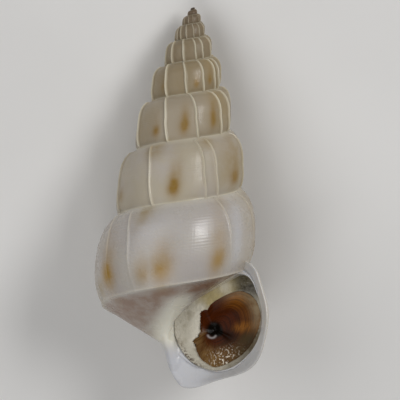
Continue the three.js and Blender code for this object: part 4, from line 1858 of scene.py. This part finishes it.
@dataclass
class DriedFootPiece:
    """What is left of the animal: a dried plug in the throat, level with the lid's rim all round it."""

    lying: Lying
    mouth: Mouth
    lid: OperculumPiece
    plane: RadialPlane = RadialPlane(14.0, 2.42, 15.82)
    over: float = 0.012
    wall_less: float = 0.03
    climb: Arc = Arc(0.2, -140.0, 65.0)
    climb_power: int = 6
    arc_deg: float = 42.0
    first_back: float = 0.05
    wall_rings: int = 8
    rings: int = 65
    around: int = 192
    lumps: tuple[tuple[float, float, int], ...] = ((0.03, 0.34, 3), (0.02, 0.15, 5))
    jags: tuple[float, float, int] = (0.08, 0.14, 11)
    jags_at: Ramp = Ramp(-0.6, -0.3)
    step_at: Ramp = Ramp(-0.05, 0.06)
    step: float = 0.74
    bed: float = -0.8
    film_calms: float = 0.8
    colours: FleshPaint = FleshPaint()
    finish: DriedFleshFinish = DriedFleshFinish()

    def inward(self, flat: Array) -> Array:
        """How far places in the seat's plane are in from the turn before."""
        towards = np.radians(self.mouth.parietal_deg)
        return self.mouth.parietal - flat[..., 0] * np.cos(towards) - flat[..., 1] * np.sin(towards)

    def wide(self, x: Array, y: Array) -> Array:
        """How far out places in the seat's plane are, as a share of the throat."""
        return np.hypot(x, y) / self.mouth.outline(np.arctan2(y, x))

    def film_and_gap_shade(self, flat: Array) -> Array:
        """Where the dark film is stretched, in the mouth's upper corner; its darkness is painted shade of the
        gap into the hollow.
        """
        return self.colours.film_and_gap_shade_across.at(flat[..., 0]) * self.colours.film_and_gap_shade_up.at(flat[..., 1])

    def lumpy(self, points: Array, kind: tuple[float, float, int]) -> Array:
        """Lumps of one kind: their height, their size and the seed that picks them."""
        high, size, seed = kind
        return high * lattice_noise(points, size, seed)

    def build(self) -> bpy.types.Object:
        """A lumpy face across the throat, walls back along the tube, and a closed end.

        Returns:
            The piece.
        """
        angle = np.linspace(0, WHOLE_TURN, self.around + 1)
        seat = self.mouth.coil.full_turns + self.plane.angle_deg / 360
        wall = self.mouth.wall - self.wall_less
        edge = self.mouth.inner_ring(seat, self.mouth.hollow_at(seat) + self.over, angle, wall)
        middle = self.plane.to_shell(np.zeros(3))
        out = np.linspace(0, 1, self.rings)[:, None]
        face = middle + (edge - middle) * out[..., None]
        flat = self.plane.from_shell(face)
        lumps = np.sum([self.lumpy(face, kind) for kind in self.lumps], axis=0)
        lumps *= 1 - self.film_calms * self.film_and_gap_shade(flat)
        lumps += self.climb.at(angle) * out**self.climb_power
        jagged = self.lumpy(face, self.jags) * self.jags_at.at(flat[..., 0])
        high = self.step_at.at(self.lid.outside(face) + jagged)
        flat[..., 2] = high * (lumps + self.step) + self.bed
        face = self.plane.to_shell(flat)
        walls = []
        for back in np.linspace(self.first_back, self.arc_deg / 360, self.wall_rings):
            share = self.mouth.hollow_at(seat - back) + self.over
            walls.append(self.mouth.inner_ring(seat - back, share, angle, wall))
        end = np.broadcast_to(walls[-1][:-1].mean(axis=0), walls[-1].shape)
        skin = Skin("dried_flesh", self.lying)
        grid = np.concatenate([face, np.stack([*walls, end])])
        along = np.linspace(0, 1, len(grid))[:, None]
        skin.add(grid, np.stack(np.broadcast_arrays(along, angle / WHOLE_TURN), axis=-1))
        foot = skin.build()
        self.paint(foot.data)
        foot.data.shade_smooth()
        keep_piece(foot, "dried_foot", self.finish.material())
        return foot

    def paint(self, mesh: bpy.types.Mesh) -> None:
        """Work out the marks that the finish reads, from each place across the throat.

        Args:
            mesh: The foot, which gets the marks.
        """
        plan = self.colours
        local = self.lying.in_shell(read_places(mesh))
        flat = self.plane.from_shell(local)
        outside = self.lid.outside(local)
        x, y = flat[:, 0], flat[:, 1]
        around = np.arctan2(y, x)
        beside = plan.bleached.at(outside) * plan.bleached_across.at(x) * plan.bleached_up.at(y)
        corner = plan.corner.at(np.hypot(x - plan.corner_middle[0], y - plan.corner_middle[1]))
        low = plan.speck.at(around) * plan.speck_out.at(self.wide(x, y))
        marks = {
            "straw": plan.straw_in.at(self.inward(flat)) * plan.straw_across.at(x),
            "bleached": np.maximum(beside, corner),
            # The film, darkened as painted shade of the gap behind it.
            "film_and_gap_shade": self.film_and_gap_shade(flat),
            "stained": plan.stained.at(around),
            # Specks at the lower left, and painted shade where the foot runs under the lid.
            "speck": np.maximum(low, plan.lid_shade_under * plan.lid_shade_under_at.at(outside)),
        }
        put_marks(mesh, marks, "POINT")


@dataclass(frozen=True)
class SoftBox:
    """One soft light: its side of the camera and height above it, in degrees, its size and its power."""

    name: str
    aside_deg: float
    above_deg: float
    distance: float
    width: float
    height: float
    watts: float


@dataclass
class Studio:
    """A pale floor, soft boxes round the camera's line of sight, and the camera itself."""

    lying: Lying
    aim_mm: tuple[float, float, float] = (0.866, -9.667, 0.0)
    lean_deg: float = 3.2
    distance: float = 0.8
    view_width: float = 0.02
    sensor_mm: float = 36.0
    floor_side: float = 0.5
    floor_points: int = 9
    floor_clouds_per_m: float = 60.0
    floor_roughness: float = 0.8
    boxes: tuple[SoftBox, ...] = (
        SoftBox("key", 34.0, 18.0, 0.3, 0.09, 0.14, 0.42),
        SoftBox("fill", -46.0, 12.0, 0.3, 0.24, 0.28, 0.27),
        SoftBox("low", -22.0, -46.0, 0.3, 0.2, 0.16, 0.23),
        SoftBox("rim", 66.0, 8.0, 0.3, 0.04, 0.2, 0.03),
    )
    sky: Colour = (0.12, 0.12, 0.12)
    floor_light: Colour = (0.8, 0.79, 0.775)
    floor_dark: Colour = (0.76, 0.75, 0.735)

    def axes(self) -> tuple[Array, Array, Array]:
        """The camera's directions: the shell's own, leaned in the picture.

        Returns:
            Right, up and backward.
        """
        right, up, back = self.lying.turning().T
        lean = np.radians(self.lean_deg)
        leaned = np.cos(lean) * right + np.sin(lean) * up
        return leaned, np.cos(lean) * up - np.sin(lean) * right, back

    def aim(self) -> Array:
        """The point that the middle of the picture shows."""
        return self.lying.on_floor(np.array(self.aim_mm))

    def stand(self, thing: bpy.types.Object, axes: tuple[Array, Array, Array], place: Array) -> None:
        """Put a camera or lamp somewhere.

        Args:
            thing: The camera or lamp.
            axes: Its right, up and backward directions.
            place: Where it stands.
        """
        pose = np.eye(4)
        pose[:3, :3] = np.stack(axes, axis=1)
        pose[:3, 3] = place
        thing.matrix_world = Matrix(pose.tolist())
        bpy.context.scene.collection.objects.link(thing)

    def camera(self) -> None:
        """A long lens straight over the mouth side of the shell."""
        data = bpy.data.cameras.new("camera")
        data.sensor_width = self.sensor_mm
        data.lens = self.sensor_mm * self.distance / self.view_width
        thing = bpy.data.objects.new("camera", data)
        axes = self.axes()
        self.stand(thing, axes, self.aim() + axes[2] * self.distance)
        bpy.context.scene.camera = thing

    def lights(self) -> None:
        """The soft boxes, each facing the shell, and an even sky."""
        right, up, back = self.axes()
        for box in self.boxes:
            side, rise = np.radians(box.aside_deg), np.radians(box.above_deg)
            level = np.cos(side) * back + np.sin(side) * right
            towards = np.cos(rise) * level + np.sin(rise) * up
            across = np.cross(up, towards)
            across /= np.linalg.norm(across)
            data = bpy.data.lights.new(box.name, "AREA")
            data.shape = "RECTANGLE"
            data.size = box.width
            data.size_y = box.height
            data.energy = box.watts
            thing = bpy.data.objects.new(box.name, data)
            axes = (across, np.cross(towards, across), towards)
            self.stand(thing, axes, self.aim() + towards * box.distance)
        world = bpy.data.worlds.new("sky")
        world.use_nodes = True
        world.node_tree.nodes["Background"].inputs["Color"].default_value = (*self.sky, 1.0)
        bpy.context.scene.world = world

    def floor(self) -> bpy.types.Object:
        """A level pale sheet under the shell, faintly mottled.

        Returns:
            The sheet.
        """
        side = np.linspace(-self.floor_side / 2, self.floor_side / 2, self.floor_points)
        x, y = np.meshgrid(side, side, indexing="ij")
        places = np.stack([x, y, np.zeros_like(x)], axis=-1)
        patch = Patch(places, places[..., :2], Zone.WHORL)
        mesh = bpy.data.meshes.new("floor")
        mesh.from_pydata(patch.points.reshape(-1, 3), [], patch.quads())
        floor = bpy.data.objects.new("floor", mesh)
        bpy.context.scene.collection.objects.link(floor)
        n = NodeSheet("floor_card")
        clouds = n.spread(n.noise(n.place(), self.floor_clouds_per_m), 0.3, 0.7)
        colour = n.mix(clouds, self.floor_light, self.floor_dark)
        mesh.materials.append(n.shade({"Base Color": colour, "Roughness": self.floor_roughness}))
        return floor

    def build(self) -> None:
        """Set the camera, the lights and the floor, with colours shown as they are."""
        self.camera()
        self.lights()
        self.floor()
        bpy.context.scene.view_settings.view_transform = "Standard"


def main() -> None:
    """Build the studio and the three pieces in order."""
    logging.basicConfig(level=logging.INFO, format="%(name)s %(message)s")
    lying = Lying()
    coil = Coil()
    mouth = Mouth(coil)
    Studio(lying).build()
    ShellPiece(lying, coil, mouth).build()
    lid = OperculumPiece(lying)
    DriedFootPiece(lying, mouth, lid).build()
    lid.build()


if __name__ == "__main__":
    main()
